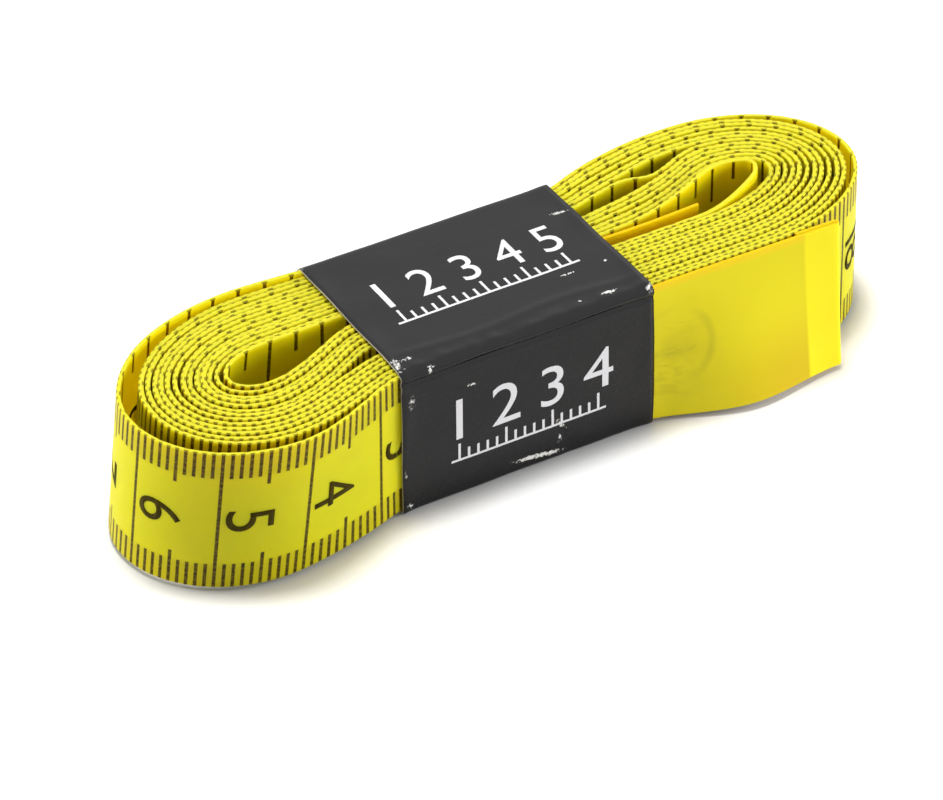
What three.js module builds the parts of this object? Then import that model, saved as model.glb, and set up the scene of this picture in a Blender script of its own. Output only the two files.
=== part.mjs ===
// Cloth tape measure: a long coated tape wound flat into an oval coil that stands on its edge,
// held at the middle by a glued paper band. The tape's outer end is free and swings away from the
// coil, and the band slides off over the left lobe.
//
// Millimetres, +Z up. The origin is the centre of the band's underside, X runs along the coil and
// -Y is the front, where the free end lies.

import * as THREE from 'three';

// Tape
const tapeWidth = 19;
const tapeThickness = 0.2;
const printedTurns = 13;

// Paper band
const bandLength = 31.6;
const bandDepth = 22.4;
const paperThickness = 0.2;
const creaseRadius = 0.6;
const creaseSteps = 3;
const overlapHeight = 8;
const glueThickness = 0.1;
const glueMargin = 1.2;

// Clearances
const fitGap = 0.3;
const leastTurnGap = 0.4;

// Outermost turn: reach of each lobe from the band's centre, height of its end point in Y, and
// how far it bulges past the turns inside the band
const leftReach = 43.8;
const leftEndY = -2.3;
const frontBulgeLeft = 4.5;
const backBulgeLeft = 0.5;
const rightReach = 50.35;
const rightEndY = 1.2;
const backBulgeRight = 3.5;
const frontBulgeRight = 0.05;

// Eye of the coil, the line that the next turn inwards would follow
const leftEyeReach = 31.1;
const leftEyeEndY = -2;
const leftEyeFrontY = -4.2;
const leftEyeBackY = 1.2;
const rightEyeReach = 37.6;
const rightEyeEndY = 2.7;
const rightEyeFrontY = -1.5;
const rightEyeBackY = 3.6;
const eyeFrontLeftEdgeY = 0.25;
const eyeBackLeftEdgeY = 1.3;
const eyeFrontRightEdgeY = -1.6;
const eyeBackRightEdgeY = -0.7;

// Where each lobe is widest, as a share of the way from the band's edge to the lobe's end
const outerCrestShares = { leftFront: 0.47, leftBack: 0.3, rightBack: 0.5, rightFront: 0.5 };
const eyeCrestShares = { leftFront: 0.78, leftBack: 0.6, rightBack: 0.85, rightFront: 0.5 };

// Slope at which a turn leaves the band's edge, in Y for each unit of X
const outerEdgeSlopeShares = { leftFront: 0.4, leftBack: 0.02, rightBack: 0.5, rightFront: 0 };
const eyeEdgeSlopeShares = { leftFront: 0.33, leftBack: 0.02, rightBack: 0, rightFront: 0 };

// How late along its run a turn swings out to the crest, where 1 is evenly
const outerLateShares = { leftFront: 1, leftBack: 1, rightBack: 1, rightFront: 1 };
const eyeLateShares = { leftFront: 1, leftBack: 1, rightBack: 1.7, rightFront: 1 };

// Looser places, where neighbouring turns stand apart. Each row is a place along the turn, in
// stretches from the band's front right edge, and the share of the opening there
const looseOuterTurn = {
	openingWidth: 2,
	outsideTurns: 1,
	placeShares: [ [ 1, 0 ], [ 2, 0.42 ], [ 3, 1 ], [ 4, 0.15 ], [ 5, 0 ], [ 7, 0 ], [ 8, 0.28 ], [ 9, 0 ] ],
};
const frontBuckle = {
	openingWidth: 1.25,
	outsideTurns: 7,
	placeShares: [ [ 0, 0 ], [ 1, 1 ], [ 1.5, 0.1 ], [ 2, 0.05 ], [ 3, 0.25 ], [ 4, 0.1 ], [ 5, 0 ] ],
};
const backBuckle = {
	openingWidth: 1.9,
	outsideTurns: 7.4,
	placeShares: [ [ 5, 0 ], [ 6, 0.75 ], [ 6.4, 1 ], [ 6.65, 0 ] ],
};
const backBuckleTail = {
	openingWidth: 1.9,
	outsideTurns: 6.4,
	placeShares: [ [ 6.4, 0 ], [ 6.65, 1 ], [ 7.05, 0 ] ],
};
const looseInnerTurn = {
	openingWidth: 0.65,
	outsideTurns: 12.52,
	placeShares: [ [ 1.4, 0 ], [ 3, 0.45 ], [ 4, 0 ], [ 7, 0 ], [ 8, 1 ], [ 8.6, 0 ] ],
};
const openings = [ looseOuterTurn, frontBuckle, backBuckle, backBuckleTail, looseInnerTurn ];

// Steps in each of the ten stretches of a turn: band front, four of the left lobe, band back,
// four of the right lobe
const stretchSteps = [ 2, 5, 6, 6, 4, 2, 10, 6, 6, 4 ];
const adjoiningSteps = 4;
const cornerCount = 4;

// Free end: its hem is the tape doubled back at the tip, and its lower edge flares outwards
const freeEndLength = 24.4;
const freeEndDrift = 0.35;
const hemLength = 5.1;
const hemBend = 0.25;
const freeEndFlare = 4;
const flareCrestShare = 0.54;
const flareTipShare = 0.6;
const freeEndSteps = 12;
const hemBendSteps = 4;
const hemSteps = 3;

// Inner end of the tape, past the last printed turn
const innerEndLength = 12.6;
const innerEndSteps = 4;

const stepsPerTurn = stretchSteps.reduce( ( sum, steps ) => sum + steps, 0 );
const bandBackStretch = stretchSteps.length / 2;
const edgeX = bandLength / 2 + fitGap / 2;
const packHalfDepth = bandDepth / 2 - paperThickness - fitGap - tapeThickness / 2;
const tapeBottom = paperThickness + fitGap;
const tapeTop = tapeBottom + tapeWidth;
const bandHeight = tapeTop + fitGap + paperThickness;

function smooth( u ) {

	return u * u * ( 3 - 2 * u );

}

// Value at a place in a table of [ place, share ] rows, eased between the rows
function shareAt( rows, place ) {

	if ( place <= rows[ 0 ][ 0 ] ) return rows[ 0 ][ 1 ];
	for ( let i = 1; i < rows.length; i ++ ) {

		const [ from, before ] = rows[ i - 1 ];
		const [ to, after ] = rows[ i ];
		if ( place <= to ) return THREE.MathUtils.lerp( before, after, smooth( ( place - from ) / ( to - from ) ) );

	}

	return rows[ rows.length - 1 ][ 1 ];

}

// One lobe of a guide line. A run leads from the band's edge to the crest, where the lobe is
// widest, and a quarter of an ellipse leads from the crest to the lobe's end
class Lobe {

	constructor( side, reach, endY, front, back ) {

		this.edgeX = side * edgeX;
		this.end = new THREE.Vector2( side * reach, endY );
		this.front = front;
		this.back = back;

	}

	crest( half ) {

		return new THREE.Vector2( THREE.MathUtils.lerp( this.edgeX, this.end.x, half.crestShare ), half.crestY );

	}

	run( half, u ) {

		const crest = this.crest( half );
		const span = Math.abs( crest.x - this.edgeX );
		const lean = Math.sign( half.crestY ) * half.slopeShare * span * u * ( 1 - u ) * ( 1 - u );
		return new THREE.Vector2(
			THREE.MathUtils.lerp( this.edgeX, crest.x, u ),
			THREE.MathUtils.lerp( half.edgeY, crest.y, smooth( Math.pow( u, half.lateShare ) ) ) + lean
		);

	}

	quarter( half, u ) {

		const crest = this.crest( half );
		const angle = u * Math.PI / 2;
		return new THREE.Vector2(
			crest.x + ( this.end.x - crest.x ) * Math.sin( angle ),
			this.end.y + ( crest.y - this.end.y ) * Math.cos( angle )
		);

	}

}

// A closed guide line round the coil, in ten stretches that start at the band's front right edge
class Guide {

	constructor( left, right ) {

		const across = ( from, to, fromY, toY, u ) => new THREE.Vector2(
			THREE.MathUtils.lerp( from, to, u ), THREE.MathUtils.lerp( fromY, toY, smooth( u ) )
		);
		this.stretches = [
			( u ) => across( edgeX, - edgeX, right.front.edgeY, left.front.edgeY, u ),
			( u ) => left.run( left.front, u ),
			( u ) => left.quarter( left.front, u ),
			( u ) => left.quarter( left.back, 1 - u ),
			( u ) => left.run( left.back, 1 - u ),
			( u ) => across( - edgeX, edgeX, left.back.edgeY, right.back.edgeY, u ),
			( u ) => right.run( right.back, u ),
			( u ) => right.quarter( right.back, u ),
			( u ) => right.quarter( right.front, 1 - u ),
			( u ) => right.run( right.front, 1 - u ),
		];

	}

	at( stretch, u ) {

		return this.stretches[ stretch ]( u );

	}

}

function half( name, edgeY, crestY, crestShares, slopeShares, lateShares ) {

	return { edgeY, crestY, crestShare: crestShares[ name ], slopeShare: slopeShares[ name ], lateShare: lateShares[ name ] };

}

const outerHalf = ( name, edgeY, bulge ) => half(
	name, edgeY, edgeY + Math.sign( edgeY ) * bulge, outerCrestShares, outerEdgeSlopeShares, outerLateShares
);
const eyeHalf = ( name, edgeY, crestY ) => half( name, edgeY, crestY, eyeCrestShares, eyeEdgeSlopeShares, eyeLateShares );

const outerGuide = new Guide(
	new Lobe( - 1, leftReach, leftEndY,
		outerHalf( 'leftFront', - packHalfDepth, frontBulgeLeft ), outerHalf( 'leftBack', packHalfDepth, backBulgeLeft ) ),
	new Lobe( 1, rightReach, rightEndY,
		outerHalf( 'rightFront', - packHalfDepth, frontBulgeRight ), outerHalf( 'rightBack', packHalfDepth, backBulgeRight ) )
);
const eyeGuide = new Guide(
	new Lobe( - 1, leftEyeReach, leftEyeEndY,
		eyeHalf( 'leftFront', eyeFrontLeftEdgeY, leftEyeFrontY ), eyeHalf( 'leftBack', eyeBackLeftEdgeY, leftEyeBackY ) ),
	new Lobe( 1, rightEyeReach, rightEyeEndY,
		eyeHalf( 'rightFront', eyeFrontRightEdgeY, rightEyeFrontY ), eyeHalf( 'rightBack', eyeBackRightEdgeY, rightEyeBackY ) )
);

// Centre of the tape at a step of one turn. The turns share the way from the outer guide to the
// eye, less the openings of the looser places
function coilPoint( turn, stretch, u, turnShare ) {

	const outer = outerGuide.at( stretch, u );
	const eye = eyeGuide.at( stretch, u );
	const way = outer.distanceTo( eye );
	const wound = turn + turnShare;
	let opened = 0;
	let openedBefore = 0;
	for ( const { openingWidth, outsideTurns, placeShares } of openings ) {

		const width = openingWidth * shareAt( placeShares, stretch + u );
		opened += width;
		if ( wound >= outsideTurns ) openedBefore += width;

	}

	const spacing = ( way - opened ) / ( printedTurns + 1 );
	return outer.lerp( eye, ( wound * spacing + openedBefore ) / way );

}

// Centre line of the whole coil, from the band's front right edge inwards to its back right edge
function coilLine() {

	const line = [];
	for ( let turn = 0; turn <= printedTurns; turn ++ ) {

		let step = 0;
		for ( let stretch = 0; stretch < stretchSteps.length; stretch ++ ) {

			for ( let i = 0; i < stretchSteps[ stretch ]; i ++ ) {

				line.push( coilPoint( turn, stretch, i / stretchSteps[ stretch ], step / stepsPerTurn ) );
				step ++;
				const atBackRightEdge = stretch === bandBackStretch && i === stretchSteps[ stretch ] - 1;
				if ( turn === printedTurns && atBackRightEdge ) {

					line.push( coilPoint( turn, stretch, 1, step / stepsPerTurn ) );
					return line;

				}

			}

		}

	}

	return line;

}

// Unit normal to the left of a line at one of its points, with the length that keeps a mitred
// corner's full thickness
function mitre( line, index ) {

	const before = line[ Math.max( index - 1, 0 ) ];
	const here = line[ index ];
	const after = line[ Math.min( index + 1, line.length - 1 ) ];
	const arriving = here.clone().sub( before );
	const leaving = after.clone().sub( here );
	if ( index === 0 ) arriving.copy( leaving );
	if ( index === line.length - 1 ) leaving.copy( arriving );
	const first = new THREE.Vector2( - arriving.y, arriving.x ).normalize();
	const second = new THREE.Vector2( - leaving.y, leaving.x ).normalize();
	const middle = first.clone().add( second ).normalize();
	return middle.divideScalar( middle.dot( first ) );

}

// Closed strip of even thickness whose lower and upper edges follow two lines, with toWorld
// turning a place on the line and a height into a point
function stripGeometry( lowerLine, upperLine, lower, upper, thickness, toWorld ) {

	const positions = [];
	const edges = [ [ lowerLine, lower ], [ upperLine, upper ] ];
	for ( let i = 0; i < lowerLine.length; i ++ ) {

		for ( const [ line, height ] of edges ) {

			const offset = mitre( line, i ).multiplyScalar( thickness / 2 );
			const left = line[ i ].clone().add( offset );
			const right = line[ i ].clone().sub( offset );
			positions.push( ...toWorld( left.x, left.y, height ), ...toWorld( right.x, right.y, height ) );

		}

	}

	const index = [];
	const face = ( a, b, c, d ) => index.push( a, b, c, a, c, d );
	const cornersAt = ( station ) => {

		const first = station * cornerCount;
		return { leftLow: first, rightLow: first + 1, leftHigh: first + 2, rightHigh: first + 3 };

	};

	for ( let i = 0; i < lowerLine.length - 1; i ++ ) {

		const near = cornersAt( i );
		const far = cornersAt( i + 1 );
		face( near.leftLow, near.leftHigh, far.leftHigh, far.leftLow );
		face( near.rightLow, far.rightLow, far.rightHigh, near.rightHigh );
		face( near.leftHigh, near.rightHigh, far.rightHigh, far.leftHigh );
		face( near.leftLow, far.leftLow, far.rightLow, near.rightLow );

	}

	const first = cornersAt( 0 );
	const last = cornersAt( lowerLine.length - 1 );
	face( first.leftLow, first.rightLow, first.rightHigh, first.leftHigh );
	face( last.leftLow, last.leftHigh, last.rightHigh, last.rightLow );
	const geometry = new THREE.BufferGeometry();
	geometry.setAttribute( 'position', new THREE.Float32BufferAttribute( positions, 3 ) );
	geometry.setIndex( index );
	geometry.computeVertexNormals();
	return geometry;

}

const standing = ( x, y, z ) => [ x, y, z ];
const lengthwise = ( y, z, x ) => [ x, y, z ];

// Least distance between the faces of two turns that lie side by side, measured from the points
// and step middles of the centre line to the steps of the next two turns
function leastGap( line ) {

	let least = Infinity;
	const closest = new THREE.Vector3();
	for ( let i = 0; i < line.length; i ++ ) {

		const middle = line[ i ].clone().lerp( line[ Math.min( i + 1, line.length - 1 ) ], 0.5 );
		for ( const point of [ line[ i ], middle ] ) {

			const place = new THREE.Vector3( point.x, point.y, 0 );
			for ( let k = i + adjoiningSteps; k < line.length - 1; k ++ ) {

				const step = new THREE.Line3(
					new THREE.Vector3( line[ k ].x, line[ k ].y, 0 ), new THREE.Vector3( line[ k + 1 ].x, line[ k + 1 ].y, 0 )
				);
				step.closestPointToPoint( place, true, closest );
				least = Math.min( least, closest.distanceTo( place ) );

			}

		}

	}

	return least - tapeThickness;

}

function lengthOf( line ) {

	return line.reduce( ( sum, point, i ) => i ? sum + point.distanceTo( line[ i - 1 ] ) : 0, 0 );

}

// Free end: it runs on from the coil's first turn along the front of the right lobe, bends back
// at the tip and ends in the hem
function freeEndLines() {

	const upper = [];
	const lower = [];
	const startX = edgeX + fitGap;
	const endX = startX + freeEndLength - hemBend;
	const outward = ( x ) => {

		const share = ( x - startX ) / freeEndLength;
		return - freeEndDrift * share * share;

	};

	const flare = ( x ) => {

		const share = ( x - startX ) / freeEndLength;
		if ( share < flareCrestShare ) return - freeEndFlare * smooth( share / flareCrestShare );
		const past = ( share - flareCrestShare ) / ( 1 - flareCrestShare );
		return - freeEndFlare * THREE.MathUtils.lerp( 1, flareTipShare, smooth( past ) );

	};

	const add = ( x, behind ) => {

		upper.push( new THREE.Vector2( x, - packHalfDepth + outward( x ) + behind ) );
		lower.push( new THREE.Vector2( x, - packHalfDepth + outward( x ) + flare( x ) + behind ) );

	};

	for ( let i = 0; i <= freeEndSteps; i ++ ) add( THREE.MathUtils.lerp( startX, endX, i / freeEndSteps ), 0 );
	for ( let i = 1; i < hemBendSteps; i ++ ) {

		const angle = Math.PI * i / hemBendSteps;
		add( endX + hemBend * Math.sin( angle ), hemBend * ( 1 - Math.cos( angle ) ) );

	}

	for ( let i = 0; i <= hemSteps; i ++ ) add( THREE.MathUtils.lerp( endX, endX - hemLength, i / hemSteps ), 2 * hemBend );
	return { lower, upper };

}

// Paper band: one strip round the coil, seen along X. It starts behind the coil as the inner
// ply, goes over the top, down the front and along the underside, and comes up the back again as
// the outer ply
function bandLine() {

	const near = paperThickness / 2;
	const frontY = - bandDepth / 2 + near;
	const innerBackY = bandDepth / 2 - near;
	const outerBackY = innerBackY + paperThickness + glueThickness;
	const lowZ = near;
	const highZ = bandHeight - near;
	const middleZ = bandHeight / 2;
	const line = [ new THREE.Vector2( innerBackY, middleZ - overlapHeight / 2 ) ];
	const corner = ( y, z, startAngle ) => {

		for ( let i = 0; i <= creaseSteps; i ++ ) {

			const angle = startAngle + Math.PI / 2 * i / creaseSteps;
			line.push( new THREE.Vector2( y + creaseRadius * Math.cos( angle ), z + creaseRadius * Math.sin( angle ) ) );

		}

	};

	corner( innerBackY - creaseRadius, highZ - creaseRadius, 0 );
	corner( frontY + creaseRadius, highZ - creaseRadius, Math.PI / 2 );
	corner( frontY + creaseRadius, lowZ + creaseRadius, Math.PI );
	corner( outerBackY - creaseRadius, lowZ + creaseRadius, Math.PI * 1.5 );
	line.push( new THREE.Vector2( outerBackY, middleZ + overlapHeight / 2 ) );
	return line;

}

const printedTape = new THREE.MeshStandardMaterial( { color: 0xf2e21c, roughness: 0.5, metalness: 0 } );
const blankTape = new THREE.MeshStandardMaterial( { color: 0xf5dc14, roughness: 0.45, metalness: 0 } );
const shadedTape = new THREE.MeshStandardMaterial( { color: 0xf0b400, roughness: 0.5, metalness: 0 } );
const blackPaper = new THREE.MeshStandardMaterial( { color: 0x1c1b1d, roughness: 0.35, metalness: 0 } );
const driedGlue = new THREE.MeshStandardMaterial( { color: 0xd8d2bf, roughness: 0.6, metalness: 0 } );

const group = new THREE.Group();

function addPiece( name, geometry, material ) {

	const mesh = new THREE.Mesh( geometry, material );
	mesh.name = name;
	group.add( mesh );
	return mesh;

}

const wound = coilLine();
addPiece( 'tape_coil', stripGeometry( wound, wound, tapeBottom, tapeTop, tapeThickness, standing ), printedTape );

const freeEnd = freeEndLines();
addPiece( 'tape_free_end',
	stripGeometry( freeEnd.lower, freeEnd.upper, tapeBottom, tapeTop, tapeThickness, standing ), blankTape );

const innerStart = wound[ wound.length - 1 ];
const innerLine = [];
for ( let i = 0; i <= innerEndSteps; i ++ ) {

	innerLine.push( new THREE.Vector2( innerStart.x + fitGap + innerEndLength * i / innerEndSteps, innerStart.y ) );

}

addPiece( 'tape_inner_end',
	stripGeometry( innerLine, innerLine, tapeBottom, tapeTop, tapeThickness, standing ), shadedTape );

const bandPath = bandLine();
addPiece( 'paper_band',
	stripGeometry( bandPath, bandPath, - bandLength / 2, bandLength / 2, paperThickness, lengthwise ), blackPaper );

const glue = addPiece( 'band_glue', new THREE.BoxGeometry(
	bandLength - 2 * glueMargin, glueThickness, overlapHeight - 2 * glueMargin
), driedGlue );
glue.position.set( 0, bandDepth / 2 + glueThickness / 2, bandHeight / 2 );

const turnGap = leastGap( wound );
console.log( `least gap between turns ${ turnGap.toFixed( 3 ) } mm, wanted over ${ leastTurnGap } mm` );
console.log( `tape in the coil ${ lengthOf( wound ).toFixed( 0 ) } mm` );

export default group;
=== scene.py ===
"""Cloth tape measure in a paper band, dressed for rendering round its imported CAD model.

Everything is in metres, in the CAD model's frame: the origin is the centre of the band's underside,
X runs along the coil and -Y is the front. Sizes are dataclass fields in millimetres, and MM turns
them into metres.
"""

import logging
import math
from dataclasses import dataclass
from enum import Enum
from typing import Callable, Iterable

import bmesh
import bpy
import numpy as np
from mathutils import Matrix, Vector, noise

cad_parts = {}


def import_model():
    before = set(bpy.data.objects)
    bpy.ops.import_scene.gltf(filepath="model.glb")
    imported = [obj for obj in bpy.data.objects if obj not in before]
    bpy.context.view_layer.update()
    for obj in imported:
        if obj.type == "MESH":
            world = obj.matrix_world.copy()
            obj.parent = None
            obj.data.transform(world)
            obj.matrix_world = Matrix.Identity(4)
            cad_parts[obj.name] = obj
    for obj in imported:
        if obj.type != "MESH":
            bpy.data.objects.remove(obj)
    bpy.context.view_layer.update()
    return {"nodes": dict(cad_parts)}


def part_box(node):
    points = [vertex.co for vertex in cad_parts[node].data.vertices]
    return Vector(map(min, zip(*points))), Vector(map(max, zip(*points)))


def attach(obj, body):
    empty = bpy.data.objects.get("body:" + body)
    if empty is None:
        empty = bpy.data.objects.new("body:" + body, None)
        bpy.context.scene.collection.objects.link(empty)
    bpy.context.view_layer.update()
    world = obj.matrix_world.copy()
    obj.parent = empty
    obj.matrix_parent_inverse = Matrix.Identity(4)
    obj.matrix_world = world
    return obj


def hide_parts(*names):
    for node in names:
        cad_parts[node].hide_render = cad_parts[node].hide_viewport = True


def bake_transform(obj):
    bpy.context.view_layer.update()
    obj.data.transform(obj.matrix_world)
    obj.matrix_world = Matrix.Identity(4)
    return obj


LOG = logging.getLogger("tape_measure")
MM = 0.001
CENTIMETRE, INCH = 10.0, 25.4
RIM_SEGMENTS, RIM_ANGLE = 2, math.radians(60)
TAPE_MAP, PAPER_MAP = "Tape", "Paper"

Array = np.ndarray
Material = bpy.types.Material
Object = bpy.types.Object
Pair = tuple[float, float]
Socket = bpy.types.NodeSocket
Tree = bpy.types.NodeTree
Flat = tuple[Socket, Socket, Socket]
Wrap = Callable[[Array, Array], Array]


def linear(code: str) -> tuple[float, float, float, float]:
    """Turns an sRGB hex colour into linear RGBA.

    Args:
        code: six hex digits after a #.

    Returns:
        Red, green, blue and alpha, each from 0 to 1.
    """
    def channel(value: float) -> float:
        """One sRGB channel made linear."""
        return value / 12.92 if value <= 0.04045 else ((value + 0.055) / 1.055) ** 2.4

    red, green, blue = (channel(int(code[i:i + 2], 16) / 255) for i in (1, 3, 5))
    return red, green, blue, 1.0


def smooth(share: Array) -> Array:
    """Eases a share from 0 to 1 in and out."""
    share = np.clip(share, 0, 1)
    return share * share * (3 - 2 * share)


def bell(away: Array, reach: float) -> Array:
    """Fades from 1 in the middle outwards, to about a third at its reach."""
    return np.exp(-(away / reach) ** 2)


def plateau(place: Array, ends: tuple[float, float, float, float]) -> Array:
    """Eases from 0 to 1 between the first two ends and back between the last two."""
    begin, full, easing, end = ends
    return smooth((place - begin) / (full - begin)) * smooth((end - place) / (end - easing))


def share_at(rows: Iterable[Pair], place: Array) -> Array:
    """Reads a table of (place, share) rows, eased between the rows.

    Args:
        rows: places in rising order, each with its share.
        place: the places to read.

    Returns:
        The share at each place.
    """
    places, shares = (np.array(column, float) for column in zip(*rows))
    row = np.clip(np.searchsorted(places, place, side="right") - 1, 0, len(places) - 2)
    way = (place - places[row]) / (places[row + 1] - places[row])
    return shares[row] + (shares[row + 1] - shares[row]) * smooth(way)


def ripple(along: Array, wavelengths: Iterable[float], seed: float, apart: float = 1.7) -> Array:
    """A gentle, repeatable unevenness along a strip.

    Args:
        along: places along the strip, in millimetres.
        wavelengths: those of its waves, in millimetres.
        seed: shifts the waves.
        apart: shifts each wave against the last.

    Returns:
        Values of about -1 to 1.
    """
    waves = [np.sin(2 * math.pi * along / length + seed * (number + 1) * apart)
             for number, length in enumerate(wavelengths)]
    return sum(waves) / len(waves)


def line_lengths(points: Array) -> Array:
    """Measures a line from its first point to each of its points."""
    return np.concatenate([[0], np.cumsum(np.linalg.norm(np.diff(points, axis=0), axis=1))])


def points_at(places: Array, lengths: Array, points: Array) -> Array:
    """Finds the points of a plane line at places along it, from its points and their lengths."""
    return np.stack([np.interp(places, lengths, points[:, axis]) for axis in (0, 1)], 1)


def add_node(tree: Tree, kind: str, inputs: dict | None = None, **settings) -> bpy.types.Node:
    """Adds one shader node, with its settings made and its inputs set or linked.

    Args:
        tree: the node tree that takes the node.
        kind: the node's type name.
        inputs: socket name or number to a value, to the output that feeds it, or to a node whose first
            output does.
        settings: the node's own properties.

    Returns:
        The new node.
    """
    node = tree.nodes.new(kind)
    for name, value in settings.items():
        setattr(node, name, value)
    for socket, value in (inputs or {}).items():
        value = value.outputs[0] if isinstance(value, bpy.types.Node) else value
        if isinstance(value, Socket):
            tree.links.new(value, node.inputs[socket])
        else:
            node.inputs[socket].default_value = value
    return node


def new_material(name: str) -> tuple[Material, Tree]:
    """Starts a material with an empty node tree.

    Args:
        name: the real material's name.

    Returns:
        The material and its node tree.
    """
    material = bpy.data.materials.new(name)
    material.use_nodes = True
    material.node_tree.nodes.clear()
    return material, material.node_tree


def flat_place(tree: Tree, map_name: str) -> Flat:
    """Reads a sheet's UV map, which holds its flat places in metres.

    Args:
        tree: the material's node tree.
        map_name: the UV map's name.

    Returns:
        The place in millimetres, then its parts along and across the sheet.
    """
    place = add_node(tree, "ShaderNodeUVMap", uv_map=map_name)
    scaled = add_node(tree, "ShaderNodeVectorMath", {0: place, "Scale": 1 / MM}, operation="SCALE")
    axes = add_node(tree, "ShaderNodeSeparateXYZ", {0: scaled}).outputs
    return scaled.outputs[0], axes["X"], axes["Y"]


def outside(tree: Tree, along: Socket, stretch: Pair, ink: Socket) -> Socket:
    """Keeps the ink off one stretch of the tape.

    Args:
        tree: the material's node tree.
        along: place along the tape in millimetres.
        stretch: where the bare stretch starts and ends.
        ink: how much ink lies at each point.

    Returns:
        The ink that is left.
    """
    middle, half = (stretch[0] + stretch[1]) / 2, (stretch[1] - stretch[0]) / 2
    off = add_node(tree, "ShaderNodeMath", {0: along, 1: middle, 2: half}, operation="COMPARE")
    left = add_node(tree, "ShaderNodeMath", {0: 1.0, 1: off}, operation="SUBTRACT")
    return add_node(tree, "ShaderNodeMath", {0: ink, 1: left}, operation="MULTIPLY").outputs[0]


@dataclass(frozen=True)
class Patches:
    """Unevenness of a surface: a noise, and the shares that a stretch of its values is spread over.
    Its scale is in waves a millimetre on a sheet's flat places, or a metre on Object coordinates."""

    scale: float
    detail: float
    roughness: float = 0.5
    distortion: float = 0.0
    values: Pair = (0.0, 1.0)
    shares: Pair = (0.0, 1.0)
    eased: bool = False

    def draw(self, tree: Tree, place: Socket) -> Socket:
        """Adds the pattern to a material.

        Args:
            tree: the material's node tree.
            place: where each point lies.

        Returns:
            The share at each point.
        """
        waves = add_node(tree, "ShaderNodeTexNoise", {
            "Vector": place, "Scale": self.scale, "Detail": self.detail, "Roughness": self.roughness,
            "Distortion": self.distortion})
        if self.values == self.shares:
            return waves.outputs[0]
        return add_node(tree, "ShaderNodeMapRange", {
            "Value": waves, "From Min": self.values[0], "From Max": self.values[1],
            "To Min": self.shares[0], "To Max": self.shares[1]},
            interpolation_type="SMOOTHSTEP" if self.eased else "LINEAR").outputs[0]


@dataclass(frozen=True)
class Spot:
    """An oval spot on a flat sheet: its middle and half sizes in millimetres, its turn in degrees,
    and its strength in the middle."""

    x: float
    y: float
    half_x: float
    half_y: float
    turn: float = 0.0
    strength: float = 1.0

    def centred(self, tree: Tree, place: Socket) -> Socket:
        """Measures flat places from the spot's middle, in its half sizes.

        Args:
            tree: the material's node tree.
            place: the flat places.

        Returns:
            The measured places.
        """
        return add_node(tree, "ShaderNodeMapping", {
            "Vector": place, "Location": (self.x, self.y, 0), "Rotation": (0, 0, math.radians(self.turn)),
            "Scale": (self.half_x, self.half_y, 1)}, vector_type="TEXTURE").outputs[0]

    def draw(self, tree: Tree, place: Socket) -> Socket:
        """Fades the spot outwards from its middle.

        Args:
            tree: the material's node tree.
            place: the flat places.

        Returns:
            Its strength at each point.
        """
        reach = add_node(tree, "ShaderNodeVectorMath", {0: self.centred(tree, place)}, operation="LENGTH")
        return add_node(tree, "ShaderNodeMapRange", {
            "Value": reach.outputs["Value"], "To Min": self.strength, "To Max": 0.0},
            interpolation_type="SMOOTHSTEP").outputs[0]


@dataclass(frozen=True)
class Tick:
    """One rank of a scale's lines: every so many millimetres, and how far it reaches in."""

    spacing: float
    width: float
    reach: float

    def draw(self, tree: Tree, along: Socket, blur: Pair, strength: float = 1.0) -> Socket:
        """Draws the rank's lines right across the tape.

        Args:
            tree: the material's node tree.
            along: place along the tape in millimetres.
            blur: how far inwards and outwards a line's edge fades.
            strength: how much ink a line holds.

        Returns:
            How much ink lies at each point.
        """
        off = add_node(tree, "ShaderNodeMath", {0: along, 1: self.spacing / 2}, operation="PINGPONG")
        return add_node(tree, "ShaderNodeMapRange", {
            "Value": off, "From Min": self.width / 2 - blur[0], "From Max": self.width / 2 + blur[1],
            "To Min": strength, "To Max": 0.0}, interpolation_type="SMOOTHSTEP").outputs[0]


class TapeFace(Enum):
    """The printing that a face of the tape carries."""

    CENTIMETRES = "centimetres"
    INCHES = "inches"
    BLANK = "blank"


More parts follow.
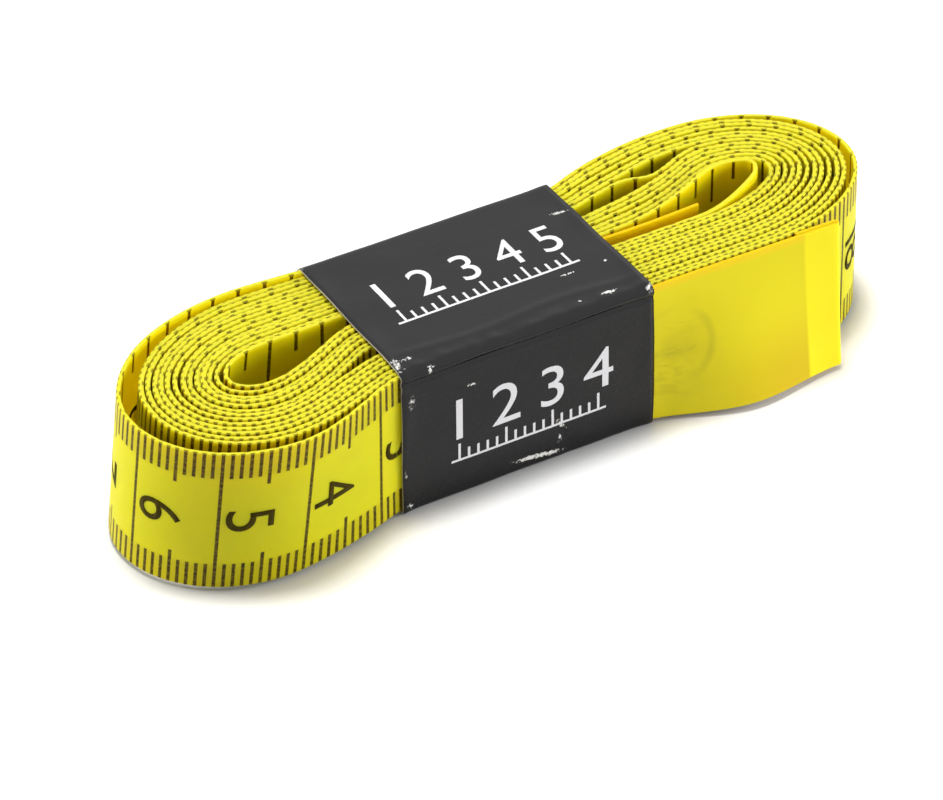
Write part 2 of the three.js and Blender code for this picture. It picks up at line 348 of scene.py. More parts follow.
@dataclass(frozen=True)
class LeadMarks:
    """Tones of the blank lead past its doubled hem, where it is one layer thick: a painted shade that makes
    this one layer darker than the doubled hem, a painted orange-brown shade at its lower corner, a
    painted glow along its top edge where light comes through, and the smudge and the curved rub mark
    that the band's black leaves. Places are along the sheet from the hem's inner end and up from its
    lower edge."""

    hem_end: float
    hem_blur: float = 0.2
    # Painted shade: past the hem the lead is coloured darker than the doubled hem, for the light that
    # passes through one layer.
    single: str = "#ecda1c"
    # shade and shaded: painted shade, an orange-brown darkening of the lower corner past the hem.
    shade: str = "#c99a14"
    # rim: a painted glow, lighter along the top edge where light comes through the tape.
    rim: str = "#ffd21c"
    grime: str = "#8f8424"
    shaded: Spot = Spot(12.7, 1.0, 13.0, 11.0, strength=0.55)
    rim_from: Pair = (17.7, 18.7)
    rim_strength: float = 0.7
    smudge: Spot = Spot(27.0, 8.0, 7.5, 10.5)
    blotches: Patches = Patches(0.26, 2.0, 0.5, 0.3, (0.4, 0.75), (0.25, 0.8))
    wisps: Patches = Patches(0.5, 3.0, 0.55, 1.2, (0.52, 0.68), (0.0, 0.5), eased=True)
    wisp_turn: float = -22.0
    wisp_squeeze: Pair = (0.35, 1.1)
    rub: Spot = Spot(26.3, 9.6, 3.7, 4.6, strength=0.5)
    rub_width: float = 0.22
    rub_side: Pair = (-0.9, -0.2)
    grime_strength: float = 0.4

    def layers(self, tree: Tree, flat: Flat) -> list[tuple[Socket, str]]:
        """Lists the tones, the lowest first.

        Args:
            tree: the material's node tree.
            flat: the flat places.

        Returns:
            How much of each tone lies at each point, with its colour.
        """
        place, along, across = flat
        past_hem = add_node(tree, "ShaderNodeMapRange", {
            "Value": along, "From Min": self.hem_end - self.hem_blur,
            "From Max": self.hem_end + self.hem_blur}).outputs[0]
        painted_glow_share = add_node(tree, "ShaderNodeMapRange", {
            "Value": across, "From Min": self.rim_from[0], "From Max": self.rim_from[1],
            "To Max": self.rim_strength}, interpolation_type="SMOOTHSTEP").outputs[0]
        tones = [(past_hem, self.single)]
        # Painted shade at the lower corner and painted glow along the top edge, both kept off the doubled
        # hem.
        for share, code in ((self.shaded.draw(tree, place), self.shade), (painted_glow_share, self.rim)):
            kept = add_node(tree, "ShaderNodeMath", {0: share, 1: past_hem}, operation="MULTIPLY")
            tones.append((kept.outputs[0], code))
        return [*tones, (self.rubbed(tree, place), self.grime)]

    def rubbed(self, tree: Tree, place: Socket) -> Socket:
        """Smudges the lead where the paper's ink has rubbed off on it.

        Args:
            tree: the material's node tree.
            place: the flat places.

        Returns:
            How dark each point is, from 0 to 1.
        """
        near = self.smudge.draw(tree, place)
        blotched = add_node(tree, "ShaderNodeMath", {0: near, 1: self.blotches.draw(tree, place)},
                            operation="MULTIPLY")
        turned = add_node(tree, "ShaderNodeMapping", {
            "Vector": place, "Rotation": (0, 0, math.radians(self.wisp_turn)),
            "Scale": (*self.wisp_squeeze, 1)}).outputs[0]
        smudged = add_node(tree, "ShaderNodeMath", {
            0: near, 1: self.wisps.draw(tree, turned), 2: blotched}, operation="MULTIPLY_ADD")
        centred = self.rub.centred(tree, place)
        radius = add_node(tree, "ShaderNodeVectorMath", {0: centred}, operation="LENGTH").outputs["Value"]
        beyond = add_node(tree, "ShaderNodeMath", {0: radius, 1: 1.0}, operation="SUBTRACT")
        off = add_node(tree, "ShaderNodeMath", {0: beyond}, operation="ABSOLUTE")
        ring = add_node(tree, "ShaderNodeMapRange", {
            "Value": off, "From Max": self.rub_width, "To Min": 1.0, "To Max": 0.0},
            interpolation_type="SMOOTHSTEP")
        sideways = add_node(tree, "ShaderNodeSeparateXYZ", {0: centred}).outputs["X"]
        one_side = add_node(tree, "ShaderNodeMapRange", {
            "Value": sideways, "From Min": self.rub_side[0], "From Max": self.rub_side[1],
            "To Min": self.rub.strength, "To Max": 0.0})
        arc = add_node(tree, "ShaderNodeMath", {0: ring, 1: one_side}, operation="MULTIPLY")
        both = add_node(tree, "ShaderNodeMath", {0: arc, 1: smudged}, operation="ADD")
        return add_node(tree, "ShaderNodeMath", {0: both, 1: self.grime_strength},
                        operation="MULTIPLY").outputs[0]


# Light goes furthest through yellow vinyl in red and hardly at all in blue.
VINYL_GLOW = (1.0, 0.7, 0.05)


@dataclass(frozen=True)
class CoatedCloth:
    """Glass-fibre cloth dipped in yellow vinyl and calendered smooth: a satin skin that shows the
    weave only faintly, and lets enough light through to glow orange where turns face each other."""

    face: TapeFace
    yellow: str = "#ead510"
    olive: str = "#dcc60e"
    ink: str = "#2a1a03"
    roughness: float = 0.42
    shine: float = 0.2
    glow: float = 0.85
    glow_depth: float = 2.4
    clouds: Patches = Patches(0.12, 3.0, 0.6, values=(0.45, 0.75), shares=(0.0, 0.35))
    marks: LeadMarks | None = None
    bare: Pair = (-2.0, -1.0)
    tape_width: float = 19.0
    centimetre_ticks: tuple[Tick, ...] = (Tick(1, 0.41, 3.4), Tick(5, 0.41, 4.6), Tick(10, 0.4, 19))
    inch_ticks: tuple[Tick, ...] = (Tick(3.175, 0.42, 2.6), Tick(6.35, 0.42, 5.0), Tick(25.4, 0.34, 19))
    line_blur: Pair = (0.05, 0.05)
    bleed: float = 0.2
    bleed_blur: Pair = (0.5, 0.4)
    cover: Patches = Patches(2.5, 2.0, values=(0.3, 0.6), shares=(0.8, 0.97))
    # The real threads lie closer together. They are drawn this coarse so that they show at all.
    thread_spacing: float = 0.45
    thread_height: float = 0.02
    thread_strength: float = 0.12

    def build(self) -> Material:
        """Makes the material.

        Returns:
            The material.
        """
        material, tree = new_material(f"Vinyl-coated glass-fibre cloth, {self.face.value}")
        flat = flat_place(tree, TAPE_MAP)
        layers = [(self.clouds.draw(tree, flat[0]), self.olive)]
        if self.face is not TapeFace.BLANK:
            layers.append((self.printing(tree, flat), self.ink))
        elif self.marks:
            layers += self.marks.layers(tree, flat)
        colour = linear(self.yellow)
        for share, code in layers:
            colour = add_node(tree, "ShaderNodeMix", {0: share, 6: colour, 7: linear(code)},
                              data_type="RGBA").outputs[2]
        shader = add_node(tree, "ShaderNodeBsdfPrincipled", {
            "Base Color": colour, "Roughness": self.roughness, "Normal": self.weave(tree, flat),
            "Specular IOR Level": self.shine, "Subsurface Weight": self.glow,
            "Subsurface Scale": self.glow_depth * MM, "Subsurface Radius": VINYL_GLOW})
        add_node(tree, "ShaderNodeOutputMaterial", {"Surface": shader})
        return material

    def printing(self, tree: Tree, flat: Flat) -> Socket:
        """Draws the scale's lines, which start from both edges of the tape. On the inner face the map
        goes on past the cut edge, which takes 1 mm of it.

        Args:
            tree: the material's node tree.
            flat: the flat places.

        Returns:
            How much ink lies at each point, from 0 to 1.
        """
        place, along, across = flat
        in_centimetres = self.face is TapeFace.CENTIMETRES
        ticks = self.centimetre_ticks if in_centimetres else self.inch_ticks
        on_face = add_node(tree, "ShaderNodeMath", {0: across, 1: 0.0 if in_centimetres else 1.0},
                           operation="SUBTRACT").outputs[0]
        from_edge = add_node(tree, "ShaderNodeMath", {0: on_face, 1: self.tape_width / 2},
                             operation="PINGPONG").outputs[0]
        total = 0.0
        for tick in ticks:
            inside = add_node(tree, "ShaderNodeMath", {0: from_edge, 1: tick.reach}, operation="LESS_THAN")
            rank = add_node(tree, "ShaderNodeMath", {
                0: tick.draw(tree, along, self.line_blur), 1: inside}, operation="MULTIPLY")
            total = add_node(tree, "ShaderNodeMath", {0: total, 1: rank}, operation="MAXIMUM").outputs[0]
        if in_centimetres:
            bled = add_node(tree, "ShaderNodeMapRange", {
                "Value": from_edge, "From Min": ticks[0].reach - self.bleed_blur[0],
                "From Max": ticks[0].reach + self.bleed_blur[1], "To Min": self.bleed, "To Max": 0.0})
            total = add_node(tree, "ShaderNodeMath", {0: total, 1: bled}, operation="MAXIMUM").outputs[0]
        total = outside(tree, along, self.bare, total)
        return add_node(tree, "ShaderNodeMath", {0: total, 1: self.cover.draw(tree, place)},
                        operation="MULTIPLY").outputs[0]

    def weave(self, tree: Tree, flat: Flat) -> Socket:
        """Raises the cloth's threads faintly through the coating.

        Args:
            tree: the material's node tree.
            flat: the flat places.

        Returns:
            The bumped normal.
        """
        waves = []
        for way in flat[1:]:
            turn = add_node(tree, "ShaderNodeMath", {0: way, 1: 2 * math.pi / self.thread_spacing},
                            operation="MULTIPLY")
            waves.append(add_node(tree, "ShaderNodeMath", {0: turn}, operation="SINE").outputs[0])
        height = add_node(tree, "ShaderNodeMath", {0: waves[0], 1: waves[1]}, operation="MULTIPLY")
        bump = add_node(tree, "ShaderNodeBump", {
            "Height": height, "Strength": self.thread_strength, "Distance": self.thread_height * MM})
        return bump.outputs[0]


@dataclass(frozen=True)
class CutEdge:
    """Slit edge of the coated cloth: paler than the faces, where the knife bares white glass fibre,
    with the ends of the scale's lines as soft dots, each along the face that carries its scale."""

    pale: str = "#ddd436"
    ink: str = "#4c3e06"
    dots: tuple[Tick, Tick] = (Tick(1, 0.42, 0.3), Tick(3.175, 0.6, 0.34))
    dot_blur: Pair = (0.06, 0.1)
    reach_blur: float = 0.08
    bare: Pair = (-2.0, -1.0)
    strength: float = 0.72
    roughness: float = 0.55
    shine: float = 0.2
    glow: float = 0.5
    glow_depth: float = 1.0
    tape_width: float = 19.0

    def build(self) -> Material:
        """Makes the material. Through the edge, the UV map goes from the outer to the inner face.

        Returns:
            The material.
        """
        material, tree = new_material("Slit edge of coated cloth")
        _, along, across = flat_place(tree, TAPE_MAP)
        above = add_node(tree, "ShaderNodeMath", {0: across, 1: self.tape_width}, operation="SUBTRACT")
        below = add_node(tree, "ShaderNodeMath", {0: across, 1: -1.0}, operation="MULTIPLY")
        through = add_node(tree, "ShaderNodeMath", {0: above, 1: below}, operation="MAXIMUM").outputs[0]
        from_inner = add_node(tree, "ShaderNodeMath", {0: 1.0, 1: through}, operation="SUBTRACT").outputs[0]
        inked = 0.0
        for dot, from_face in zip(self.dots, (through, from_inner)):
            near = add_node(tree, "ShaderNodeMapRange", {
                "Value": from_face, "From Min": dot.reach - self.reach_blur,
                "From Max": dot.reach + self.reach_blur, "To Min": 1.0, "To Max": 0.0},
                interpolation_type="SMOOTHSTEP")
            rank = add_node(tree, "ShaderNodeMath", {
                0: dot.draw(tree, along, self.dot_blur, self.strength), 1: near}, operation="MULTIPLY")
            inked = add_node(tree, "ShaderNodeMath", {0: inked, 1: rank}, operation="MAXIMUM").outputs[0]
        colour = add_node(tree, "ShaderNodeMix", {
            0: outside(tree, along, self.bare, inked), 6: linear(self.pale), 7: linear(self.ink)},
            data_type="RGBA")
        shader = add_node(tree, "ShaderNodeBsdfPrincipled", {
            "Base Color": colour.outputs[2], "Roughness": self.roughness, "Specular IOR Level": self.shine,
            "Subsurface Weight": self.glow, "Subsurface Scale": self.glow_depth * MM,
            "Subsurface Radius": VINYL_GLOW})
        add_node(tree, "ShaderNodeOutputMaterial", {"Surface": shader})
        return material


@dataclass(frozen=True)
class GlossyPaper:
    """Machine-coated paper flooded with black and varnished: deep, glossy, and white where the
    coating has cracked off the fibres at folds and corners."""

    scuffs: tuple[Spot, ...]
    black: str = "#141315"
    fibre: str = "#e9e7e2"
    ior: float = 1.44
    gloss: Patches = Patches(0.35, 5.0, values=(0.35, 0.7), shares=(0.21, 0.38))
    flakes: Patches = Patches(1.9, 6.0, 0.75, 0.8)
    grain: Patches = Patches(0.9, 4.0)
    scuff_share: float = 0.26
    flaked_from: Pair = (0.74, 0.8)
    flaked_roughness: float = 0.5
    flake_depth: float = 1.5
    relief: float = 0.05
    relief_strength: float = 0.35

    def build(self) -> Material:
        """Makes the material: the coating comes off where the flakes are thin and a scuff has rubbed.

        Returns:
            The material.
        """
        material, tree = new_material("Varnished black paper")
        place, _, _ = flat_place(tree, PAPER_MAP)
        rubbed = 0.0
        for scuff in self.scuffs:
            rubbed = add_node(tree, "ShaderNodeMath", {0: rubbed, 1: scuff.draw(tree, place)},
                              operation="MAXIMUM").outputs[0]
        raised = add_node(tree, "ShaderNodeMath", {
            0: rubbed, 1: self.scuff_share, 2: self.flakes.draw(tree, place)}, operation="MULTIPLY_ADD")
        worn = add_node(tree, "ShaderNodeMapRange", {
            "Value": raised, "From Min": self.flaked_from[0], "From Max": self.flaked_from[1]}).outputs[0]
        rough = add_node(tree, "ShaderNodeMath", {
            0: worn, 1: self.flaked_roughness, 2: self.gloss.draw(tree, place)}, operation="MULTIPLY_ADD")
        colour = add_node(tree, "ShaderNodeMix", {0: worn, 6: linear(self.black), 7: linear(self.fibre)},
                          data_type="RGBA")
        height = add_node(tree, "ShaderNodeMath", {
            0: worn, 1: -self.flake_depth, 2: self.grain.draw(tree, place)}, operation="MULTIPLY_ADD")
        bump = add_node(tree, "ShaderNodeBump", {
            "Height": height, "Strength": self.relief_strength, "Distance": self.relief * MM})
        shader = add_node(tree, "ShaderNodeBsdfPrincipled", {
            "Base Color": colour.outputs[2], "Roughness": rough, "Normal": bump, "IOR": self.ior})
        add_node(tree, "ShaderNodeOutputMaterial", {"Surface": shader})
        return material


@dataclass(frozen=True)
class MottledFinish:
    """A matt or satin finish of one colour with a fine mottle, such as ink, bare paper or glue."""

    name: str
    colour: str
    roughness: float
    mottle: Patches = Patches(1500.0, 3.0, shares=(0.88, 1.12))
    shine: float = 0.5

    def build(self) -> Material:
        """Makes the material.

        Returns:
            The material.
        """
        material, tree = new_material(self.name)
        place = add_node(tree, "ShaderNodeTexCoord").outputs["Object"]
        colour = add_node(tree, "ShaderNodeVectorMath", {
            0: linear(self.colour)[:3], "Scale": self.mottle.draw(tree, place)}, operation="SCALE")
        shader = add_node(tree, "ShaderNodeBsdfPrincipled", {
            "Base Color": colour, "Roughness": self.roughness, "Specular IOR Level": self.shine})
        add_node(tree, "ShaderNodeOutputMaterial", {"Surface": shader})
        return material


# A thin screen-printed film that the yellow shows through: olive-brown, dull and a little patchy.
SCALE_INK = MottledFinish("Screen-printed ink", "#40360a", 0.55,
                          Patches(1800.0, 2.0, shares=(0.8, 1.25)), 0.06)
# An opaque white film on varnish: even, with a dull shine.
BAND_INK = MottledFinish("White screen-printed ink", "#e4e3e6", 0.6,
                         Patches(1800.0, 2.0, shares=(0.97, 1.03)), 0.06)
# The band's uncoated side and its cut edges: pale grey, matt and fibrous.
BARE_PAPER = MottledFinish("Bare paper", "#a8a49a", 0.85)
# Paste dried between the plies: a pale satin line.
DRIED_GLUE = MottledFinish("Dried paper glue", "#d8d2bf", 0.5)


@dataclass(frozen=True)
class Half:
    """Front or back half of a lobe's guide line."""

    edge_y: float
    crest_y: float
    crest_share: float
    slope_share: float
    late_share: float = 1.0


@dataclass(frozen=True)
class Lobe:
    """One lobe of a guide line: a run from the band's edge to the crest, then a quarter ellipse."""

    edge_x: float
    end_x: float
    end_y: float
    front: Half
    back: Half

    def run(self, half: Half, u: Array) -> Array:
        """Follows the run from the band's edge.

        Args:
            half: the half of the lobe.
            u: the share of the run.

        Returns:
            Points in plan, one row each.
        """
        crest_x = self.edge_x + (self.end_x - self.edge_x) * half.crest_share
        slope = math.copysign(1, half.crest_y) * half.slope_share * abs(crest_x - self.edge_x)
        lean = slope * u * (1 - u) ** 2
        rise = smooth(u ** half.late_share)
        return np.stack([self.edge_x + (crest_x - self.edge_x) * u,
                         half.edge_y + (half.crest_y - half.edge_y) * rise + lean], 1)

    def quarter(self, half: Half, u: Array) -> Array:
        """Follows the quarter ellipse from the crest to the lobe's end.

        Args:
            half: the half of the lobe.
            u: the share of the quarter.

        Returns:
            Points in plan, one row each.
        """
        crest_x = self.edge_x + (self.end_x - self.edge_x) * half.crest_share
        angle = u * math.pi / 2
        return np.stack([crest_x + (self.end_x - crest_x) * np.sin(angle),
                         self.end_y + (half.crest_y - self.end_y) * np.cos(angle)], 1)


@dataclass(frozen=True)
class Guide:
    """A closed guide line round the coil, in ten stretches from the band's front right edge."""

    left: Lobe
    right: Lobe

    def stretch(self, number: int, u: Array) -> Array:
        """Follows one stretch.

        Args:
            number: the stretch, from 0 to 9. 0 and 5 lie inside the band.
            u: the share of the stretch.

        Returns:
            Points in plan, one row each.
        """
        left, right = self.left, self.right
        if number in (0, 5):
            half = (right.front, left.front) if number == 0 else (left.back, right.back)
            ends = (right.edge_x, left.edge_x) if number == 0 else (left.edge_x, right.edge_x)
            return np.stack([ends[0] + (ends[1] - ends[0]) * u,
                             half[0].edge_y + (half[1].edge_y - half[0].edge_y) * smooth(u)], 1)
        lobe = left if number < 5 else right
        first, second = (left.front, left.back) if number < 5 else (right.back, right.front)
        follow = {1: lambda: lobe.run(first, u), 2: lambda: lobe.quarter(first, u),
                  3: lambda: lobe.quarter(second, 1 - u), 4: lambda: lobe.run(second, 1 - u)}
        return follow[number % 5]()


@dataclass(frozen=True)
class Opening:
    """A loose place, where neighbouring turns stand apart."""

    width: float
    outside_turns: float
    place_shares: tuple[Pair, ...]


@dataclass(frozen=True)
class CoilSizes:
    """Sizes of the wound tape, in millimetres, as in the CAD source."""

    turns: int = 13
    stretch_steps: tuple[int, ...] = (2, 5, 6, 6, 4, 2, 10, 6, 6, 4)
    last_stretch: int = 6
    zero_x: float = 11.5
    solid_thickness: float = 0.2
    fit_gap: float = 0.3
    outer_reach: Pair = (43.8, 50.35)
    outer_end_y: Pair = (-2.3, 1.2)
    front_bulge: Pair = (4.5, 0.05)
    back_bulge: Pair = (0.5, 3.5)
    eye_reach: Pair = (31.1, 37.6)
    eye_end_y: Pair = (-2.0, 2.7)
    press: float = 0.06
    press_turns: float = 3.1
    press_swing: float = 1.4
    openings: tuple[Opening, ...] = (
        Opening(2.0, 1, ((1, 0), (2, 0.42), (3, 1), (4, 0.15), (5, 0), (7, 0), (8, 0.28), (9, 0))),
        Opening(1.25, 7, ((0, 0), (1, 1), (1.5, 0.1), (2, 0.05), (3, 0.25), (4, 0.1), (5, 0))),
        Opening(1.9, 7.4, ((5, 0), (6, 0.75), (6.4, 1), (6.65, 0))),
        Opening(1.9, 6.4, ((6.4, 0), (6.65, 1), (7.05, 0))),
        Opening(0.65, 12.52, ((1.4, 0), (3, 0.45), (4, 0), (7, 0), (8, 1), (8.6, 0))),
    )


class CoilPath:
    """Centre line of the wound tape in plan, measured along the tape from its zero mark."""

    fine_steps = 6
    sample = 0.25
    rounding = 0.7

    def __init__(self, sizes: CoilSizes, edge_x: float, pack_half_depth: float) -> None:
        """Traces the line.

        Args:
            sizes: the coil's sizes.
            edge_x: half the width of the stretch inside the band, in millimetres.
            pack_half_depth: the outer turn's distance from the middle inside the band.
        """
        self.sizes = sizes
        reach, end_y = sizes.outer_reach, sizes.outer_end_y
        front, back = sizes.front_bulge, sizes.back_bulge
        depth = pack_half_depth
        # Each half ends in the share of the lobe where its crest lies and the slope that it starts with.
        self.outer = Guide(
            Lobe(-edge_x, -reach[0], end_y[0], Half(-depth, -depth - front[0], 0.47, 0.4),
                 Half(depth, depth + back[0], 0.3, 0.02)),
            Lobe(edge_x, reach[1], end_y[1], Half(-depth, -depth - front[1], 0.5, 0.0),
                 Half(depth, depth + back[1], 0.5, 0.5)))
        eye_reach, eye_end_y = sizes.eye_reach, sizes.eye_end_y
        self.eye = Guide(
            Lobe(-edge_x, -eye_reach[0], eye_end_y[0], Half(0.25, -4.2, 0.78, 0.33),
                 Half(1.3, 1.2, 0.6, 0.02)),
            Lobe(edge_x, eye_reach[1], eye_end_y[1], Half(-1.6, -1.5, 0.5, 0.0),
                 Half(-0.7, 3.6, 0.85, 0.0, 1.7)))
        self.points = self.even(self.rounded(self.even(self.trace())))
        self.lengths = line_lengths(self.points) - (edge_x - sizes.zero_x)
        way = np.gradient(self.points, axis=0)
        way /= np.linalg.norm(way, axis=1)[:, None]
        self.outwards = np.stack([-way[:, 1], way[:, 0]], 1)

    @property
    def length(self) -> float:
        """Length from the zero mark to the line's inner end, in millimetres."""
        return float(self.lengths[-1])

    def trace(self) -> Array:
        """Winds the line turn by turn between the outer guide and the eye.

        Returns:
            Points in plan, from the band's front right edge inwards.
        """
        sizes, steps = self.sizes, np.array(self.sizes.stretch_steps)
        before = np.concatenate([[0], np.cumsum(steps)])
        turn_points = []
        for number, count in enumerate(steps):
            u = np.arange(count * self.fine_steps) / (count * self.fine_steps)
            outer, eye = self.outer.stretch(number, u), self.eye.stretch(number, u)
            turn_points.append((outer, eye, (before[number] + u * count) / steps.sum(), number + u))
        outer, eye, share, place = (np.concatenate(column) for column in zip(*turn_points))
        way = np.linalg.norm(outer - eye, axis=1)
        widths = [opening.width * share_at(opening.place_shares, place) for opening in sizes.openings]
        spacing = (way - sum(widths)) / (sizes.turns + 1)
        turns = []
        for turn in range(sizes.turns + 1):
            wound = turn + share
            opened = sum(width * (wound >= opening.outside_turns)
                         for width, opening in zip(widths, sizes.openings))
            ends = smooth(wound) * smooth(sizes.turns + 1 - wound)
            pressed = sizes.press * ends * np.sin(
                2 * math.pi * wound / sizes.press_turns + sizes.press_swing * np.sin(math.pi * place / 5))
            part = ((wound * spacing + opened + pressed) / way)[:, None]
            turns.append(outer + (eye - outer) * part)
        turns[-1] = turns[-1][place <= sizes.last_stretch]
        return np.concatenate(turns)

    def even(self, points: Array) -> Array:
        """Spaces a line's points evenly, a sample apart."""
        lengths = line_lengths(points)
        return points_at(np.linspace(0, lengths[-1], int(lengths[-1] / self.sample) + 1), lengths, points)

    def rounded(self, points: Array) -> Array:
        """Rounds the line's corners, because a tape can't kink.

        Args:
            points: evenly spaced points in plan.

        Returns:
            The smoothed line.
        """
        reach = int(3 * self.rounding / self.sample)
        weights = np.exp(-0.5 * (np.arange(-reach, reach + 1) * self.sample / self.rounding) ** 2)
        weights /= weights.sum()
        padded = np.concatenate([2 * points[0] - points[reach:0:-1], points,
                                 2 * points[-1] - points[-2:-reach - 2:-1]])
        return np.stack([np.convolve(padded[:, axis], weights, "valid") for axis in (0, 1)], 1)

    def at(self, along: Array) -> tuple[Array, Array]:
        """Finds places on the line.

        Args:
            along: millimetres along the tape from its zero mark.

        Returns:
            The points in plan, and the unit normals that point outwards.
        """
        normals = points_at(along, self.lengths, self.outwards)
        normals /= np.linalg.norm(normals, axis=1)[:, None]
        return points_at(along, self.lengths, self.points), normals


def link_piece(name: str, mesh: bpy.types.Mesh) -> Object:
    """Puts a mesh into the scene as a new object at the origin.

    Args:
        name: the object's name.
        mesh: its mesh.

    Returns:
        The object.
    """
    piece = bpy.data.objects.new(name, mesh)
    bpy.context.scene.collection.objects.link(piece)
    return piece


def bent_sheet(name: str, along: Array, across: Array, wrap: Wrap, map_name: str) -> Object:
    """Bends a flat sheet into place. Its UV map keeps the flat places, in metres.

    Args:
        name: the piece's name.
        along: places of the sheet's cuts along it, in millimetres.
        across: places of the cuts across it, in millimetres.
        wrap: takes flat places and gives points in millimetres.
        map_name: the UV map's name.

    Returns:
        The new object, whose faces look along the sheet's outer side.
    """
    mesh = bpy.data.meshes.new(name)
    sheet = bmesh.new()
    bmesh.ops.create_grid(sheet, x_segments=len(along) - 1, y_segments=len(across) - 1, size=0.5)
    sheet.to_mesh(mesh)
    sheet.free()
    flat = np.empty(len(mesh.vertices) * 3)
    mesh.vertices.foreach_get("co", flat)
    flat = flat.reshape(-1, 3)
    column = np.rint((0.5 - flat[:, 0]) * (len(along) - 1)).astype(int)
    row = np.rint((flat[:, 1] + 0.5) * (len(across) - 1)).astype(int)
    places = np.stack([along[column], across[row]], 1)
    corners = np.empty(len(mesh.loops), int)
    mesh.loops.foreach_get("vertex_index", corners)
    uv = mesh.uv_layers.new(name=map_name)
    uv.data.foreach_set("uv", (places[corners] * MM).astype(np.float32).ravel())
    mesh.vertices.foreach_set("co", (wrap(places[:, 0], places[:, 1]) * MM).astype(np.float32).ravel())
    mesh.update()
    mesh.shade_smooth()
    return link_piece(name, mesh)


def thicken(piece: Object, thickness: float, rim_radius: float, materials: Iterable[Material]) -> None:
    """Gives a sheet its thickness and rounds its cut edges.

    Args:
        piece: the sheet.
        thickness: millimetres, half to each side.
        rim_radius: the rounding of the cut edges, in millimetres, or 0.
        materials: those of the outer face, the inner face and the cut edge.
    """
    for material in materials:
        piece.data.materials.append(material)
    solid = piece.modifiers.new("Thickness", "SOLIDIFY")
    solid.thickness = thickness * MM
    solid.offset = 0
    solid.use_even_offset = True
    solid.material_offset = 1
    solid.material_offset_rim = 2
    if rim_radius:
        bevel = piece.modifiers.new("Rounded edge", "BEVEL")
        bevel.width = rim_radius * MM
        bevel.segments = RIM_SEGMENTS
        bevel.limit_method = "ANGLE"
        bevel.angle_limit = RIM_ANGLE
        bevel.harden_normals = True


def print_piece(name: str, sheet: bmesh.types.BMesh, ink: MottledFinish, thickness: float) -> Object:
    """Makes a flat print into a piece of its own, as a thin film of ink.

    Args:
        name: the piece's name.
        sheet: the print's faces, which are used up.
        ink: its finish.
        thickness: the film's thickness in millimetres.

    Returns:
        The piece.
    """
    mesh = bpy.data.meshes.new(name)
    sheet.to_mesh(mesh)
    sheet.free()
    mesh.materials.append(ink.build())
    piece = link_piece(name, mesh)
    solid = piece.modifiers.new("Ink", "SOLIDIFY")
    solid.thickness = thickness * MM
    solid.offset = -1
    return piece


